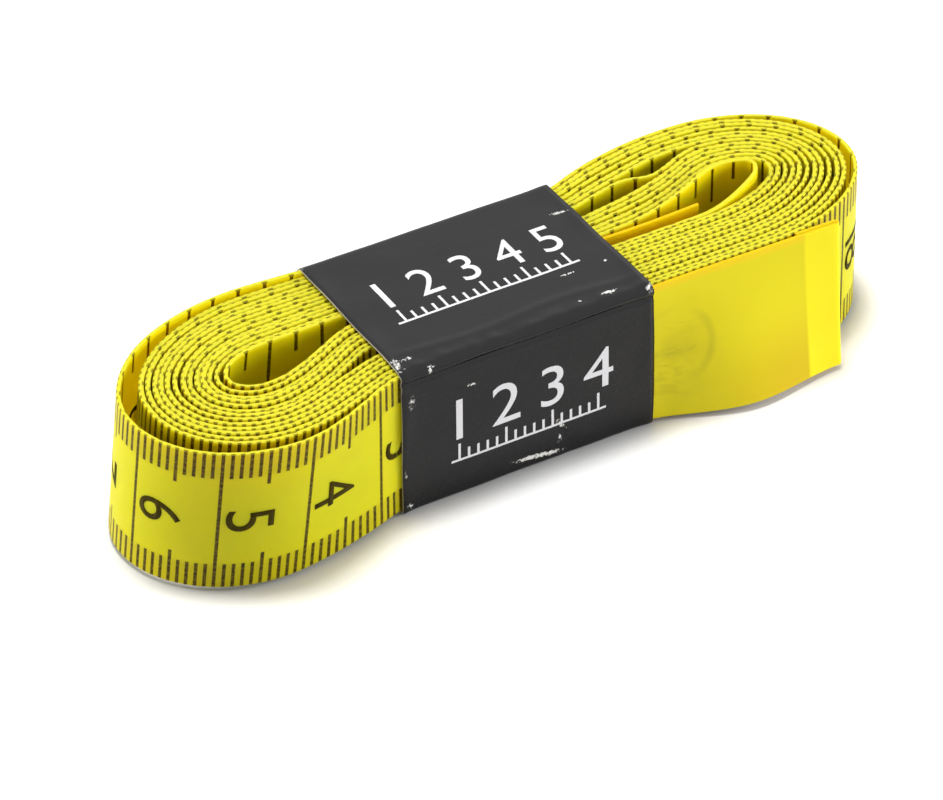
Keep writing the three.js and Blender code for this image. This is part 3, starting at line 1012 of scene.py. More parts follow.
@dataclass
class WoundTape:
    """The printed tape, from its zero mark under the band's front to its inner end.

    The solids keep 0.4 mm between turns. Here the tape is drawn as thick as the room between
    packed turns, so that they touch as the real ones do, and thinner where they stand apart."""

    path: CoilPath
    bottom: float
    width: float
    loose_thickness: float = 0.46
    packed_thickness: float = 0.62
    packed_room: tuple[float, float, float] = (0.5, 0.65, 0.9)
    turn_gap: float = 0.03
    next_turn_from: float = 20.0
    inner_end_hidden: float = 4.0
    left_lean: Pair = (-1.6, 1.1)
    right_lean: Pair = (0.8, 0.1)
    lean_from_x: float = 16.5
    lean_over: float = 12.0
    cell: float = 0.9
    face_rows: tuple[float, ...] = (0.5, 6.4, 12.6, 18.5)
    rim_rows: tuple[float, ...] = (0, 0.04, 0.11, 0.2, 0.5, 0.8, 0.89, 0.96, 1)
    rim_share: float = 0.26
    rim_drop: float = 0.13
    inner_proud: float = 0.85
    inner_proud_lean: float = 0.5
    inner_proud_before: tuple[float, float, float, float] = (34.0, 20.0, 9.0, 0.0)
    outer_proud: float = 0.5
    outer_proud_places: tuple[float, float, float, float] = (64.0, 76.0, 95.0, 101.0)
    bare_before: float = 21.0
    inner_tip_x: float = 29.0
    height_waves: tuple[float, ...] = (171, 97, 233)
    height_spread: float = 0.16
    height_seed: float = 1.1
    side_waves: tuple[float, ...] = (23, 37, 59)
    side_spread: float = 0.02
    side_seed: float = 0.4
    merge_distance: float = 0.001

    def __post_init__(self) -> None:
        """Measures the room that the neighbouring turns leave at each place, and where the innermost
        turn comes back along the front of the right lobe, standing a little proud."""
        self.along = np.linspace(0, self.length, int(self.length / self.cell) + 1)
        points, _ = self.path.at(self.along)
        room = np.empty(len(self.along))
        for number, (place, point) in enumerate(zip(self.along, points)):
            apart = np.hypot(*(self.path.points - point).T)
            room[number] = apart[np.abs(self.path.lengths - place) > self.next_turn_from].min()
        tight, packed, loose = self.packed_room
        self.thicknesses = np.interp(room, (tight, packed, loose), (
            tight - self.turn_gap, self.packed_thickness, self.loose_thickness))
        last = self.along[points[:, 0] > self.inner_tip_x - 1][-1]
        self.proud_shares = plateau(self.along, tuple(last - before for before in self.inner_proud_before))
        self.bare = (last - self.bare_before, last + 1)

    @property
    def length(self) -> float:
        """Length of the printed tape, in millimetres."""
        return self.path.length - self.inner_end_hidden

    def thickness_at(self, along: Array) -> Array:
        """Thickness of the tape at places along it, in millimetres."""
        return np.interp(along, self.along, self.thicknesses)

    def wrap(self, along: Array, across: Array, lift: Array | float = 0.0) -> Array:
        """Winds flat places of the tape into the coil.

        Args:
            along: millimetres from the zero mark.
            across: millimetres from the lower edge.
            lift: millimetres outwards from the tape's middle surface.

        Returns:
            Points in millimetres.
        """
        points, normals = self.path.at(along)
        proud = np.interp(along, self.along, self.proud_shares)
        aside = self.side_spread * ripple(along, self.side_waves, self.side_seed) + lift
        aside = aside - self.inner_proud_lean * proud * across / self.width
        waved = self.height_spread * ripple(along, self.height_waves, self.height_seed)
        height = self.bottom + across + waved
        height = height + self.inner_proud * proud
        height = height + self.outer_proud * plateau(along, self.outer_proud_places)
        plan = points + normals * np.reshape(aside, (-1, 1))
        past_band = smooth((np.abs(points[:, 0]) - self.lean_from_x) / self.lean_over)
        lean = np.where(points[:, :1] < 0, self.left_lean, self.right_lean)
        return np.column_stack([plan + lean * (past_band * (1 - across / self.width))[:, None], height])

    def section(self, place: Array) -> tuple[Array, Array]:
        """Follows the tape's section: up the outer face, over the rounded top edge, down the inner
        face. Each edge takes 1 of the places, the lower one those from -1 to 0.

        Args:
            place: places round the section, in millimetres along the faces.

        Returns:
            The heights, and the shares of half the thickness outwards.
        """
        through = np.maximum(-place, place - self.width)
        in_edge = (through >= 0) & (through <= 1)
        through = np.clip(through, 0, 1)
        from_face = np.clip(np.minimum(through, 1 - through) / self.rim_share, 0, 1)
        drop = self.rim_drop * (1 - np.sqrt(1 - (1 - from_face) ** 2))
        face = np.where(place > self.width, 2 * self.width + 1 - place, place)
        height = np.clip(face, self.rim_drop, self.width - self.rim_drop)
        return np.where(in_edge, np.where(place < 1, drop, self.width - drop), height), 1 - 2 * through

    def build(self) -> Object:
        """Makes the printed tape.

        Returns:
            The piece.
        """
        edge, face = np.array(self.rim_rows), np.array(self.face_rows)
        places = np.concatenate([edge - 1, face, edge + self.width, face + self.width + 1,
                                 [2 * self.width + 1]])

        def wrap(along: Array, place: Array) -> Array:
            """Puts places round the section on to the wound tape."""
            height, side = self.section(place)
            return self.wrap(along, height, side * self.thickness_at(along) / 2)

        piece = bent_sheet("printed_tape", self.along, places, wrap, TAPE_MAP)
        shape = bmesh.new()
        shape.from_mesh(piece.data)
        bmesh.ops.remove_doubles(shape, verts=shape.verts, dist=self.merge_distance * MM)
        layer = shape.loops.layers.uv[TAPE_MAP]
        for polygon in shape.faces:
            middle = sum(loop[layer].uv.y for loop in polygon.loops) / len(polygon.loops) / MM
            on_edge = middle < 0 or self.width < middle < self.width + 1
            polygon.material_index = 2 if on_edge else int(middle > self.width)
        ends = [rim for rim in shape.edges if rim.is_boundary]
        for polygon in bmesh.ops.holes_fill(shape, edges=ends)["faces"]:
            polygon.material_index = 2
        shape.to_mesh(piece.data)
        shape.free()
        for material in (CoatedCloth(TapeFace.CENTIMETRES, bare=self.bare).build(),
                         CoatedCloth(TapeFace.INCHES).build(), CutEdge(bare=self.bare).build()):
            piece.data.materials.append(material)
        return piece


class DigitSet:
    """The ten digits as flat meshes, cut into slices that can bend round the coil."""

    slice_height = 0.8
    outline_steps = 5
    outline_offset = -0.001
    merged_parts = 500

    def __init__(self, height: float) -> None:
        """Makes the digits from the built-in typeface.

        Args:
            height: a digit's height in millimetres.
        """
        self.meshes: dict[str, bpy.types.Mesh] = {}
        self.widths: dict[str, float] = {}
        for digit in "0123456789":
            curve = bpy.data.curves.new(f"digit_{digit}", "FONT")
            curve.body = digit
            curve.resolution_u = self.outline_steps
            curve.offset = self.outline_offset
            text = bpy.data.objects.new(curve.name, curve)
            mesh = bpy.data.meshes.new_from_object(text)
            heights = [vertex.co.y for vertex in mesh.vertices]
            size = height / (max(heights) - min(heights))
            shape = bmesh.new()
            shape.from_mesh(mesh)
            bmesh.ops.translate(shape, verts=shape.verts, vec=(0, -min(heights), 0))
            bmesh.ops.scale(shape, verts=shape.verts, vec=(size, size, 1))
            bmesh.ops.remove_doubles(shape, verts=shape.verts, dist=height / self.merged_parts)
            for cut in np.arange(self.slice_height, height, self.slice_height):
                bmesh.ops.bisect_plane(shape, geom=[*shape.verts, *shape.edges, *shape.faces],
                                       plane_co=(0, cut, 0), plane_no=(0, 1, 0))
            left = min(vertex.co.x for vertex in shape.verts)
            self.widths[digit] = max(vertex.co.x for vertex in shape.verts) - left
            bmesh.ops.translate(shape, verts=shape.verts, vec=(-left, 0, 0))
            shape.to_mesh(mesh)
            shape.free()
            self.meshes[digit] = mesh
            bpy.data.objects.remove(text)

    def write(self, target: bmesh.types.BMesh, number: str, gap: float, place: Wrap) -> None:
        """Adds a number to a mesh.

        Args:
            target: the mesh that takes it.
            number: its digits.
            gap: millimetres between digits.
            place: takes places across and up from the number's bottom middle, and gives points.
        """
        width = sum(self.widths[digit] for digit in number) + gap * (len(number) - 1)
        left = -width / 2
        for digit in number:
            start = len(target.verts)
            target.from_mesh(self.meshes[digit])
            target.verts.ensure_lookup_table()
            fresh = target.verts[start:]
            flat = np.array([vertex.co[:2] for vertex in fresh])
            for vertex, point in zip(fresh, place(flat[:, 0] + left, flat[:, 1])):
                vertex.co = point * MM
            left += self.widths[digit] + gap


@dataclass
class ScaleNumbers:
    """The numbers printed beside the scale's full lines, turned so that they read with zero up."""

    tape: WoundTape
    digit_height: float = 5.2
    from_line: float = 0.75
    digit_gap: float = 0.7
    ink_lift: float = 0.02
    ink_thickness: float = 0.02

    def __post_init__(self) -> None:
        """Cuts the digits once for both faces."""
        self.digits = DigitSet(self.digit_height)

    def build(self, name: str, face: TapeFace, spacing: float) -> Object:
        """Makes the numbers of one face.

        Args:
            name: the piece's name.
            face: the face that carries them.
            spacing: millimetres from one number to the next.

        Returns:
            The piece.
        """
        side = 1 if face is TapeFace.CENTIMETRES else -1
        middle = self.tape.width / 2
        sheet = bmesh.new()
        for count in range(1, int(self.tape.length / spacing) + 1):
            line = count * spacing

            def place(across: Array, up: Array, line: float = line) -> Array:
                """Puts flat places of the number on to the wound tape.

                Args:
                    across: places across the number, from its middle.
                    up: places up the number.
                    line: the scale line that the number stands by.

                Returns:
                    Points in millimetres.
                """
                along = line - self.from_line - up
                lift = side * (self.tape.thickness_at(along) / 2 + self.ink_lift)
                return self.tape.wrap(along, middle - side * across, lift)

            self.digits.write(sheet, str(count), self.digit_gap, place)
        piece = print_piece(name, sheet, SCALE_INK, self.ink_thickness)
        piece.data.shade_smooth()
        return piece


@dataclass
class FreeLead:
    """The tape's blank outer end, from the zero mark under the band to its doubled tip."""

    tape: WoundTape
    zero_x: float
    front_y: float
    tip_x: float
    flare_start_x: float = 14.5
    drift: float = 0.35
    flare: float = 4.0
    flare_power: float = 1.15
    crest_share: float = 0.56
    tip_share: float = 0.6
    hem_length: float = 5.1
    hem_bend: float = 0.25
    swing_bend: float = 4.0
    thickness: float = 0.36
    rim_radius: float = 0.08
    cell: float = 0.5
    bend_rows: int = 7
    cross_rows: int = 13

    def wrap(self, along: Array, across: Array) -> Array:
        """Lays flat places of the lead along the front, with the tip turned back behind itself.

        Args:
            along: millimetres from the zero mark towards the tip.
            across: millimetres from the lower edge.

        Returns:
            Points in millimetres.
        """
        straight = self.tip_x - self.hem_bend - self.zero_x
        bend = math.pi * self.hem_bend
        angle = np.clip((along - straight) / self.hem_bend, 0, math.pi)
        x = self.zero_x + np.minimum(along, straight) + self.hem_bend * np.sin(angle)
        x -= np.maximum(along - straight - bend, 0)
        behind = self.hem_bend * (1 - np.cos(angle))
        share = np.clip((x - self.flare_start_x) / (self.tip_x - self.flare_start_x), 0, 1)
        past_crest = smooth((share - self.crest_share) / (1 - self.crest_share))
        out = np.where(share < self.crest_share, smooth(share / self.crest_share),
                       1 + (self.tip_share - 1) * past_crest)
        low = 1 - across / self.tape.width
        y = self.front_y - self.drift * share ** 2 - self.flare * out * low ** self.flare_power + behind
        lean = self.flare * out / self.tape.width
        height = self.tape.bottom + across + self.tape.width * (1 - np.cos(np.arctan(lean))) * low
        return np.column_stack([x, y, height])

    def build(self) -> Object:
        """Makes the lead. It runs the other way from the coil, so its sheet is laid from the tip.

        Returns:
            The piece.
        """
        fold = self.tip_x - self.zero_x - self.hem_bend
        bend = np.linspace(fold, fold + math.pi * self.hem_bend, self.bend_rows)
        length = bend[-1] + self.hem_length
        before = np.linspace(0, fold, int(fold / self.cell) + 1)[:-1]
        after = np.linspace(bend[-1], length, int(self.hem_length / self.cell) + 1)[1:]
        along = np.concatenate([before, bend, after])
        across = np.linspace(0, self.tape.width, self.cross_rows)

        def mirrored(flat_along: Array, flat_across: Array) -> Array:
            """Wraps places that are measured from the tip's turned end."""
            return self.wrap(length - flat_along, flat_across)

        piece = bent_sheet("blank_lead", length - along[::-1], across, mirrored, TAPE_MAP)
        # Painted light: the lead's yellow is brighter than the printed tape's, for the extra light that it
        # catches.
        cloth = CoatedCloth(TapeFace.BLANK, yellow="#ffec1e", olive="#fae01a", glow=0.15,
                            marks=LeadMarks(hem_end=2 * self.hem_length)).build()
        # Painted glow: the lead's cut edges are orange, for light that comes through its top edge.
        edge = CutEdge(pale="#f6bd12", strength=0).build()
        thicken(piece, self.thickness, self.rim_radius, (cloth, cloth, edge))
        return piece


@dataclass
class InnerLead:
    """The tape's blank inner end, which runs out of the band into the right lobe's eye."""

    tape: WoundTape
    tip_x: float
    bow: float = 0.25
    thickness: float = 0.4
    rim_radius: float = 0.08
    long_rows: int = 30
    cross_rows: int = 5

    def build(self) -> Object:
        """Makes the inner end.

        Returns:
            The piece.
        """
        start, _ = self.tape.path.at(np.array([self.tape.length]))
        start_x, start_y = start[0]
        length = self.tip_x - start_x

        def wrap(along: Array, across: Array) -> Array:
            """Lays flat places of the strip along the eye, with a slight bow."""
            bow = self.bow * np.sin(math.pi * along / length)
            return np.column_stack([start_x + along, start_y - bow, self.tape.bottom + across])

        piece = bent_sheet("inner_lead", np.linspace(0, length, self.long_rows),
                           np.linspace(0, self.tape.width, self.cross_rows), wrap, TAPE_MAP)
        # Painted shade and glow: the inner end's faces and edge are orange for the light that reaches this
        # strip only through the tape around it.
        cloth = CoatedCloth(TapeFace.BLANK, yellow="#ffc20c", olive="#f8b40a").build()
        edge = CutEdge(pale="#ffbe14", strength=0).build()
        thicken(piece, self.thickness, self.rim_radius, (cloth, cloth, edge))
        return piece


@dataclass(frozen=True)
class Rumple:
    """Fine unevenness of paper: its height, its waves a millimetre both ways, and its seed."""

    height: float
    x_rate: float
    p_rate: float
    seed: float

    def at(self, x: Array, p: Array) -> Array:
        """Reads the height at places on the unrolled paper."""
        return self.height * np.array([noise.noise(Vector((a * self.x_rate, b * self.p_rate, self.seed)))
                                       for a, b in zip(x, p)])


@dataclass(frozen=True)
class Swell:
    """An oval swelling of the paper, or a dent where its height is below 0."""

    height: float
    x_reach: float
    p_reach: float
    slant: float = 0.0

    def at(self, from_x: Array, from_p: Array) -> Array:
        """Reads the height at distances from the swelling's middle."""
        return self.height * bell(from_x - self.slant * from_p, self.x_reach) * bell(from_p, self.p_reach)


@dataclass(frozen=True)
class Ridge:
    """A ridge along a fold of the paper, or a groove where its height is below 0. It wanders from
    side to side, and is lower over a run at the band's ends."""

    from_fold: float
    height: float
    reach: float
    wander: float
    wander_rate: float
    wander_phase: float = 0.0
    end_run: float = 1.0
    end_share: float = 1.0

    def at(self, x: Array, from_fold: Array, half: float) -> Array:
        """Reads the ridge's height.

        Args:
            x: place along the coil, in millimetres.
            from_fold: distance past the fold on the unrolled paper.
            half: half the band's length.

        Returns:
            Millimetres outwards.
        """
        crest = self.from_fold + self.wander * np.sin(x * self.wander_rate + self.wander_phase)
        ends = smooth((half - np.abs(x)) / self.end_run + self.end_share)
        return self.height * bell(from_fold - crest, self.reach) * ends


@dataclass
class PaperBand:
    """The paper strip glued round the middle of the coil, wrapped a little askew, so that its cut
    ends sit further right at the front than at the back, with the right one bowed out."""

    low: Vector
    high: Vector
    paper: float = 0.2
    overlap_end: float = 14.0
    overlap_start: float = 6.0
    glue: float = 0.1
    radii: tuple[float, float, float, float] = (0.8, 0.9, 0.6, 0.6)
    corner_cells: int = 8
    cell: float = 0.35
    columns: int = 55
    groove_rows: tuple[float, float, float] = (0.05, 1.3, 0.08)
    skew: float = 0.45
    bow: float = 0.45
    turning: float = 0.2
    waves: Rumple = Rumple(0.07, 0.16, 0.2, 3.7)
    end_flare: float = 0.16
    end_reach: float = 1.3
    end_wave: float = 0.4
    end_wave_rate: float = 0.55
    crushed_corner: Swell = Swell(1.0, 2.2, 1.8)
    corner_rumple: Rumple = Rumple(0.3, 1.3, 1.3, 9.1)
    fold_reach: float = 0.9
    fold_rumple: Rumple = Rumple(0.16, 0.75, 0.5, 5.3)
    crease: Ridge = Ridge(-1.9, 0.08, 0.5, -0.35, 0.31, 0.0, 6.0, 0.3)
    lip: Ridge = Ridge(-0.3, 0.13, 0.34, 0.1, 0.37)
    groove: Ridge = Ridge(0.42, -0.24, 0.3, 0.1, 0.43, 1.0, 4.0, 0.5)
    dent: Swell = Swell(-0.14, 0.9, 2.2, 0.25)
    dent_place: Pair = (4.9, 2.7)
    bulge: Swell = Swell(0.25, 2.5, 4.0)
    bulge_height: float = 6.0

    def __post_init__(self) -> None:
        """Draws the band's section, from the inner ply's end at the back, over the top and round."""
        half = self.paper / 2
        front, top, bottom = self.low.y / MM + half, self.high.z / MM - half, self.low.z / MM + half
        outer_back = self.high.y / MM - half
        inner_back = outer_back - self.paper - self.glue
        points = [(inner_back, self.overlap_start)]
        marks = [0]
        corners = ((inner_back, top, 0), (front, top, 90), (front, bottom, 180), (outer_back, bottom, 270))
        for (y, z, start), radius in zip(corners, self.radii):
            towards = math.radians(start + 45)
            centre_y = y - radius * math.copysign(1, math.cos(towards))
            centre_z = z - radius * math.copysign(1, math.sin(towards))
            marks.append(len(points))
            for step in range(self.corner_cells + 1):
                angle = math.radians(start + 90 * step / self.corner_cells)
                points.append((centre_y + radius * math.cos(angle), centre_z + radius * math.sin(angle)))
            marks.append(len(points) - 1)
        points.append((outer_back, self.overlap_end))
        marks.append(len(points) - 1)
        self.section = np.array(points)
        self.lengths = line_lengths(self.section)
        self.marks = self.lengths[marks]
        rows = [np.array([0.0]), self.front_top + np.arange(*self.groove_rows)]
        for begin, end in zip(marks[:-1], marks[1:]):
            if end - begin > 1:
                rows.append(self.lengths[begin + 1:end + 1])
            else:
                count = max(int((self.lengths[end] - self.lengths[begin]) / self.cell), 1)
                rows.append(np.linspace(self.lengths[begin], self.lengths[end], count + 1)[1:])
        self.rows = np.unique(np.concatenate(rows))

    @property
    def top_front(self) -> float:
        """Place on the unrolled paper where the top meets the front fold."""
        return float(self.marks[3])

    @property
    def front_top(self) -> float:
        """Place on the unrolled paper where the front begins, under its top fold."""
        return float(self.marks[4])

    def on_top(self, y: float) -> float:
        """Place on the unrolled paper of a point on the top face, by its Y in millimetres."""
        fold_y = self.section[np.searchsorted(self.lengths, self.top_front)][0]
        return self.top_front - (y - fold_y)

    def on_front(self, z: float) -> float:
        """Place on the unrolled paper of a point on the front face, by its Z in millimetres."""
        fold_z = self.section[np.searchsorted(self.lengths, self.front_top)][1]
        return self.front_top + (fold_z - z)

    def dents(self, x: Array, p: Array) -> Array:
        """The paper's unevenness: soft waves, flared ends, a crushed corner, a rumpled fold with a
        second crease beside it, a lip with a tight groove under it, a dent and a bulge.

        Args:
            x: place along the coil, in millimetres.
            p: place round the band on the unrolled paper.

        Returns:
            Millimetres outwards.
        """
        half = self.high.x / MM
        from_top_fold, from_front_fold = p - self.top_front, p - self.front_top
        out = self.waves.at(x, p)
        waved = 1 - self.end_wave + self.end_wave * np.sin(p * self.end_wave_rate + x)
        out += self.end_flare * bell(half - np.abs(x), self.end_reach) * waved
        out += self.crushed_corner.at(x + half, from_front_fold) * self.corner_rumple.at(x, p)
        out += bell(from_top_fold, self.fold_reach) * self.fold_rumple.at(x, p)
        out += self.crease.at(x, from_top_fold, half)
        out += self.lip.at(x, from_front_fold, half) + self.groove.at(x, from_front_fold, half)
        out += self.dent.at(x - self.dent_place[0], p - self.on_front(self.dent_place[1]))
        out += self.bulge.at(x - half, p - self.on_front(self.bulge_height))
        return out

    def wrap(self, x: Array, p: Array, lift: float = 0.0) -> Array:
        """Folds flat places of the paper round the coil.

        Args:
            x: place along the coil, in millimetres.
            p: place round the band.
            lift: millimetres outwards from the paper's middle surface.

        Returns:
            Points in millimetres.
        """
        middle, ahead, behind = (points_at(p + step, self.lengths, self.section)
                                 for step in (0, self.turning, -self.turning))
        way = ahead - behind
        way /= np.linalg.norm(way, axis=1)[:, None]
        outwards = np.stack([way[:, 1], -way[:, 0]], 1)
        place = middle + outwards * (self.dents(x, p) + lift)[:, None]
        place[:, 1] = np.maximum(place[:, 1], self.low.z / MM + self.paper / 2)
        half, depth, height = self.high.x / MM, -self.low.y / MM, self.high.z / MM
        slid = -self.skew * place[:, 0] / depth
        to_right, to_front = smooth((x / half + 1) / 2), smooth(-place[:, 0] / depth)
        slid += self.bow * to_right * to_front * (1 - np.clip(place[:, 1] / height, 0, 1) ** 2)
        return np.column_stack([x + slid, place])

    def scuffs(self) -> tuple[Spot, ...]:
        """Lists the band's rubbed places: folds, corners and a cracked patch low on the front.

        Returns:
            The scuffs, each with its middle on the unrolled paper.
        """
        top, front, fold = self.on_top, self.on_front, (self.top_front + self.front_top) / 2
        return (
            Spot(-15.3, fold - 1.5, 1.3, 2.3, 0, 1.2), Spot(-13.9, fold - 2.0, 1.9, 0.7, 0, 1.1),
            Spot(-12.2, fold + 0.4, 1.6, 0.9, -35, 0.95), Spot(-14.6, front(15.8), 1.3, 2.6, 0, 0.95),
            Spot(-14.9, front(1.2), 1.1, 1.4), Spot(-15.4, front(6), 0.6, 2.0, 0, 0.9),
            Spot(1.2, front(1.5), 6.6, 0.75, 7, 1.5), Spot(3.8, front(5.2), 3.0, 0.8, 47, 1.1),
            Spot(3.8, front(3.0), 0.6, 1.1, 0, 1.1), Spot(-7.0, front(15.3), 1.8, 0.5, 12, 1.2),
            Spot(9.1, top(-4.7), 2.6, 0.4, 0, 1.15), Spot(13.8, top(-4.7), 0.5, 0.4, 0, 1.4),
            Spot(11.0, top(-9.7), 2.2, 0.55, 0, 1.6), Spot(7.5, top(-9.5), 0.6, 0.4, 0, 1.2),
            Spot(14.2, top(5.4), 2.2, 0.6, 12, 1.3), Spot(15.4, fold, 1.1, 0.9, 0, 1.2),
            Spot(-15.6, top(10.3), 0.7, 0.9),
        )

    def build(self) -> Object:
        """Makes the band.

        Returns:
            The piece.
        """
        half = self.high.x / MM
        piece = bent_sheet("paper_wrap", np.linspace(-half, half, self.columns), self.rows, self.wrap,
                           PAPER_MAP)
        core = BARE_PAPER.build()
        thicken(piece, self.paper, 0.0, (GlossyPaper(self.scuffs()).build(), core, core))
        return piece


@dataclass(frozen=True)
class Ruler:
    """A plain printed rule on the band: numbers over a row of strokes, in millimetres."""

    numbers: str
    digit_height: float
    spacing: float
    parts: int
    base: float
    stroke: float
    long_stroke: float


@dataclass
class BandPrint:
    """The white print on the band: a plain rule on its top, and a coarser one on its front."""

    band: PaperBand
    top: Ruler = Ruler("12345", 4.6, 5.2, 4, -3.4, 1.2, 2.0)
    front: Ruler = Ruler("1234", 5.6, 5.8, 5, 5.0, 1.3, 2.2)
    line: float = 0.3
    line_past: float = 1.0
    line_cuts: int = 30
    gap: float = 1.0
    digit_gap: float = 0.5
    lift: float = 0.115
    ink_thickness: float = 0.015

    def lay(self, sheet: bmesh.types.BMesh, ruler: Ruler, unrolled: Callable[[float], float]) -> None:
        """Adds one rule to the mesh.

        Args:
            sheet: the mesh that takes it.
            ruler: its numbers and sizes.
            unrolled: turns the face's own height into the place on the unrolled paper.
        """
        steps = len(ruler.numbers) - 1
        half = ruler.spacing * steps / 2

        def place(across: Array, up: Array) -> Array:
            """Puts flat places of the rule on to the band."""
            return self.band.wrap(across, unrolled(ruler.base + up), self.lift)

        def bar(left: float, low: float, width: float, height: float, cuts: int) -> None:
            """Adds one printed bar, with enough cuts to follow the paper.

            Args:
                left: its left end, from the rule's middle.
                low: its lower edge, from the rule's base.
                width: its width.
                height: its height.
                cuts: the parts that it is cut into across its width.
            """
            made = bmesh.ops.create_grid(sheet, x_segments=cuts, y_segments=2, size=0.5)["verts"]
            flat = np.array([vertex.co[:2] for vertex in made]) + 0.5
            for vertex, point in zip(made, place(left + flat[:, 0] * width, low + flat[:, 1] * height)):
                vertex.co = point * MM

        bar(-half - self.line_past, 0, 2 * (half + self.line_past), self.line, self.line_cuts)
        count = ruler.parts * steps
        for number in range(count + 1):
            reach = ruler.stroke if number % ruler.parts else ruler.long_stroke
            bar(-half + number * 2 * half / count - self.line / 2, self.line, self.line, reach, 1)
        digits = DigitSet(ruler.digit_height)
        rise = ruler.long_stroke + self.gap
        for number, text in enumerate(ruler.numbers):
            middle = -half + number * ruler.spacing
            digits.write(sheet, text, self.digit_gap,
                         lambda x, up, middle=middle: place(middle + x, rise + up))

    def build(self) -> Object:
        """Makes the print. Its thin rims would shade patchily if smooth, so it is shaded flat.

        Returns:
            The piece.
        """
        sheet = bmesh.new()
        self.lay(sheet, self.top, self.band.on_top)
        self.lay(sheet, self.front, self.band.on_front)
        piece = print_piece("band_scale_print", sheet, BAND_INK, self.ink_thickness)
        piece.data.shade_flat()
        return piece


@dataclass(frozen=True)
class Lamp:
    """A round soft lamp that faces the object, by its place and size in millimetres."""

    name: str
    place: tuple[float, float, float]
    size: float
    watts: float


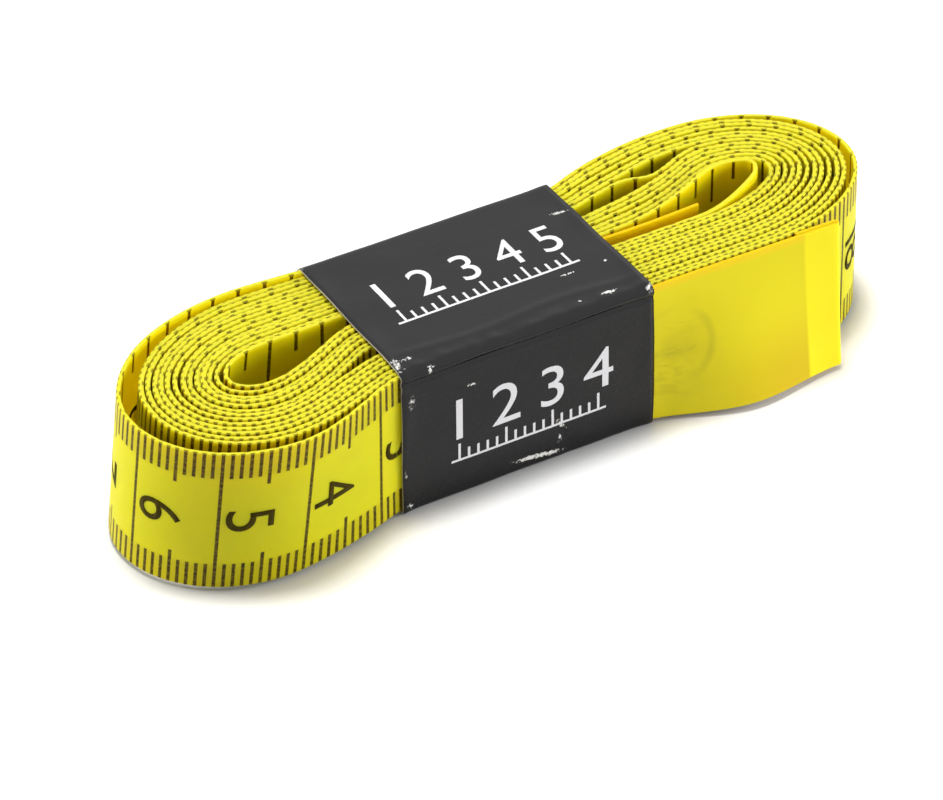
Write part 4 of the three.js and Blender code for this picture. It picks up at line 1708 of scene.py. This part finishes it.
@dataclass
class Studio:
    """Pale floor with a painted contact shadow, soft white light and a camera at the photograph's viewing
    angle.
    """

    azimuth: float = -29.402
    elevation: float = 40.0
    distance: float = 453.286
    target: tuple[float, float, float] = (0.033, 0.751, 1.618)
    focal_pixels: float = 4000.0
    picture_width: float = 943.0
    sensor: float = 36.0
    near_clip: float = 10.0
    far_clip: float = 20000.0
    floor_half: float = 1500.0
    floor_paint: float = 0.62
    floor_seen: float = 1.08
    # The painted contact shadow: its reach in millimetres, its darkest tone, and the occlusion at and below
    # which it is darkest.
    contact_reach: float = 3.0
    contact_tone: float = 0.7
    contact_closed: float = 0.5
    fade: Pair = (150.0, 500.0)
    room_light: float = 0.3
    lamps: tuple[Lamp, ...] = (
        Lamp("overhead", (-20, 72, 600), 160, 2.5),
        Lamp("left", (-450, 330, 120), 300, 3.0),
        Lamp("right", (490, -230, 140), 300, 2.6),
        Lamp("front", (-60, -560, 80), 320, 0.5),
    )

    def add_camera(self) -> None:
        """Places the camera and makes it the scene's."""
        turn, rise = math.radians(self.azimuth), math.radians(self.elevation)
        back = Vector((math.sin(turn) * math.cos(rise), -math.cos(turn) * math.cos(rise), math.sin(rise)))
        data = bpy.data.cameras.new("camera")
        data.sensor_width = self.sensor
        data.lens = self.focal_pixels / self.picture_width * self.sensor
        data.clip_start = self.near_clip * MM
        data.clip_end = self.far_clip * MM
        camera = bpy.data.objects.new("camera", data)
        camera.location = (Vector(self.target) + back * self.distance) * MM
        camera.rotation_euler = back.to_track_quat("Z", "Y").to_euler()
        bpy.context.scene.collection.objects.link(camera)
        bpy.context.scene.camera = camera

    def seen_rays(self, tree: Tree) -> Socket:
        """Tells the rays that look at a surface from those that light it.

        Args:
            tree: a material's or the world's node tree.

        Returns:
            1 for camera, glossy and transmission rays, 0 for the rest.
        """
        path = add_node(tree, "ShaderNodeLightPath").outputs
        direct = add_node(tree, "ShaderNodeMath", {0: path["Is Camera Ray"], 1: path["Is Glossy Ray"]},
                          operation="MAXIMUM")
        return add_node(tree, "ShaderNodeMath", {0: direct, 1: path["Is Transmission Ray"]},
                        operation="MAXIMUM").outputs[0]

    def add_floor(self) -> None:
        """Lays the floor: matt paint that reads as white where nothing shades it, with a painted contact
        shadow that darkens it close under the object's foot, and that fades to the plain white of the room
        far from the object."""
        mesh = bpy.data.meshes.new("floor")
        plane = bmesh.new()
        bmesh.ops.create_grid(plane, x_segments=1, y_segments=1, size=self.floor_half * MM)
        plane.to_mesh(mesh)
        plane.free()
        floor = link_piece("floor", mesh)
        material, tree = new_material("Matt white paint")
        looked_at = add_node(tree, "ShaderNodeLightPath").outputs["Is Camera Ray"]
        # Painted contact shadow: for camera rays, ambient occlusion darkens the floor close to the object.
        painted_shadow_occlusion = add_node(tree, "ShaderNodeAmbientOcclusion", {"Distance": self.contact_reach * MM},
                             samples=8)
        with_painted_shadow = add_node(tree, "ShaderNodeMapRange", {
            "Value": painted_shadow_occlusion.outputs["AO"], "From Min": self.contact_closed,
            "To Min": self.contact_tone, "To Max": self.floor_seen})
        tone = add_node(tree, "ShaderNodeMapRange", {
            "Value": looked_at, "To Min": self.floor_paint, "To Max": with_painted_shadow})
        paint = add_node(tree, "ShaderNodeBsdfDiffuse", {"Color": tone})
        place = add_node(tree, "ShaderNodeTexCoord").outputs["Object"]
        reach = add_node(tree, "ShaderNodeVectorMath", {0: place}, operation="LENGTH")
        far = add_node(tree, "ShaderNodeMapRange", {
            "Value": reach.outputs["Value"], "From Min": self.fade[0] * MM, "From Max": self.fade[1] * MM},
            interpolation_type="SMOOTHSTEP")
        share = add_node(tree, "ShaderNodeMath", {0: self.seen_rays(tree), 1: far}, operation="MULTIPLY")
        white = add_node(tree, "ShaderNodeEmission", {"Strength": 1.0})
        both = add_node(tree, "ShaderNodeMixShader", {0: share, 1: paint, 2: white})
        add_node(tree, "ShaderNodeOutputMaterial", {"Surface": both})
        mesh.materials.append(material)

    def add_light(self) -> None:
        """Lights the scene with a white room and soft lamps. Gloss mirrors the room alone, as under
        crossed polarising filters, so no lamp bleaches the varnished band at a low angle."""
        world = bpy.data.worlds.new("white room")
        bpy.context.scene.world = world
        world.use_nodes = True
        tree = world.node_tree
        tree.nodes.clear()
        strength = add_node(tree, "ShaderNodeMapRange", {
            "Value": self.seen_rays(tree), "To Min": self.room_light, "To Max": 1.0})
        back = add_node(tree, "ShaderNodeBackground", {"Color": (1, 1, 1, 1), "Strength": strength})
        add_node(tree, "ShaderNodeOutputWorld", {"Surface": back})
        for lamp in self.lamps:
            data = bpy.data.lights.new(lamp.name, "AREA")
            data.shape = "DISK"
            data.size = lamp.size * MM
            data.energy = lamp.watts
            holder = bpy.data.objects.new(lamp.name, data)
            holder.location = Vector(lamp.place) * MM
            holder.rotation_euler = Vector(lamp.place).to_track_quat("Z", "Y").to_euler()
            holder.visible_glossy = False
            bpy.context.scene.collection.objects.link(holder)

    def build(self) -> None:
        """Makes the whole studio."""
        self.add_camera()
        self.add_floor()
        self.add_light()
        bpy.context.scene.view_settings.view_transform = "Standard"


def main() -> None:
    """Builds the object's pieces round the CAD model and the studio round the object."""
    logging.basicConfig(level=logging.INFO, format="%(name)s: %(message)s")
    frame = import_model()
    Studio().build()

    band_low, band_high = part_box("paper_band")
    coil_low, coil_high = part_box("tape_coil")
    _, lead_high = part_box("tape_free_end")
    _, inner_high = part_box("tape_inner_end")
    sizes = CoilSizes()
    band = PaperBand(band_low, band_high)
    edge_x = band_high.x / MM + sizes.fit_gap / 2
    pack_half_depth = -band_low.y / MM - band.paper - sizes.fit_gap - sizes.solid_thickness / 2

    path = CoilPath(sizes, edge_x, pack_half_depth)
    tape = WoundTape(path, coil_low.z / MM, (coil_high.z - coil_low.z) / MM)
    printed = tape.build()
    numbers = ScaleNumbers(tape)
    centimetres = numbers.build("centimetre_numbers", TapeFace.CENTIMETRES, CENTIMETRE)
    inches = numbers.build("inch_numbers", TapeFace.INCHES, INCH)
    for piece in (printed, centimetres, inches):
        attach(piece, "coil")
    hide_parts("tape_coil")
    tape.length * MM
    LOG.info("printed tape %.0f mm long", tape.length)

    lead = FreeLead(tape, sizes.zero_x, -pack_half_depth, lead_high.x / MM)
    blank = lead.build()
    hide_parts("tape_free_end")
    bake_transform(blank)

    inner = InnerLead(tape, inner_high.x / MM).build()
    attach(inner, "coil")
    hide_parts("tape_inner_end")
    inner_start, _ = path.at(np.array([tape.length]))
    LOG.info("inner lead placed")

    wrap = band.build()
    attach(wrap, "band")
    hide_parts("paper_band")
    glue = frame["nodes"]["band_glue"]
    glue.data.materials.clear()
    glue.data.materials.append(DRIED_GLUE.build())
    rule = BandPrint(band).build()
    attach(rule, "band")
    LOG.info("paper band %.1f mm round", band.lengths[-1])


if __name__ == "__main__":
    main()
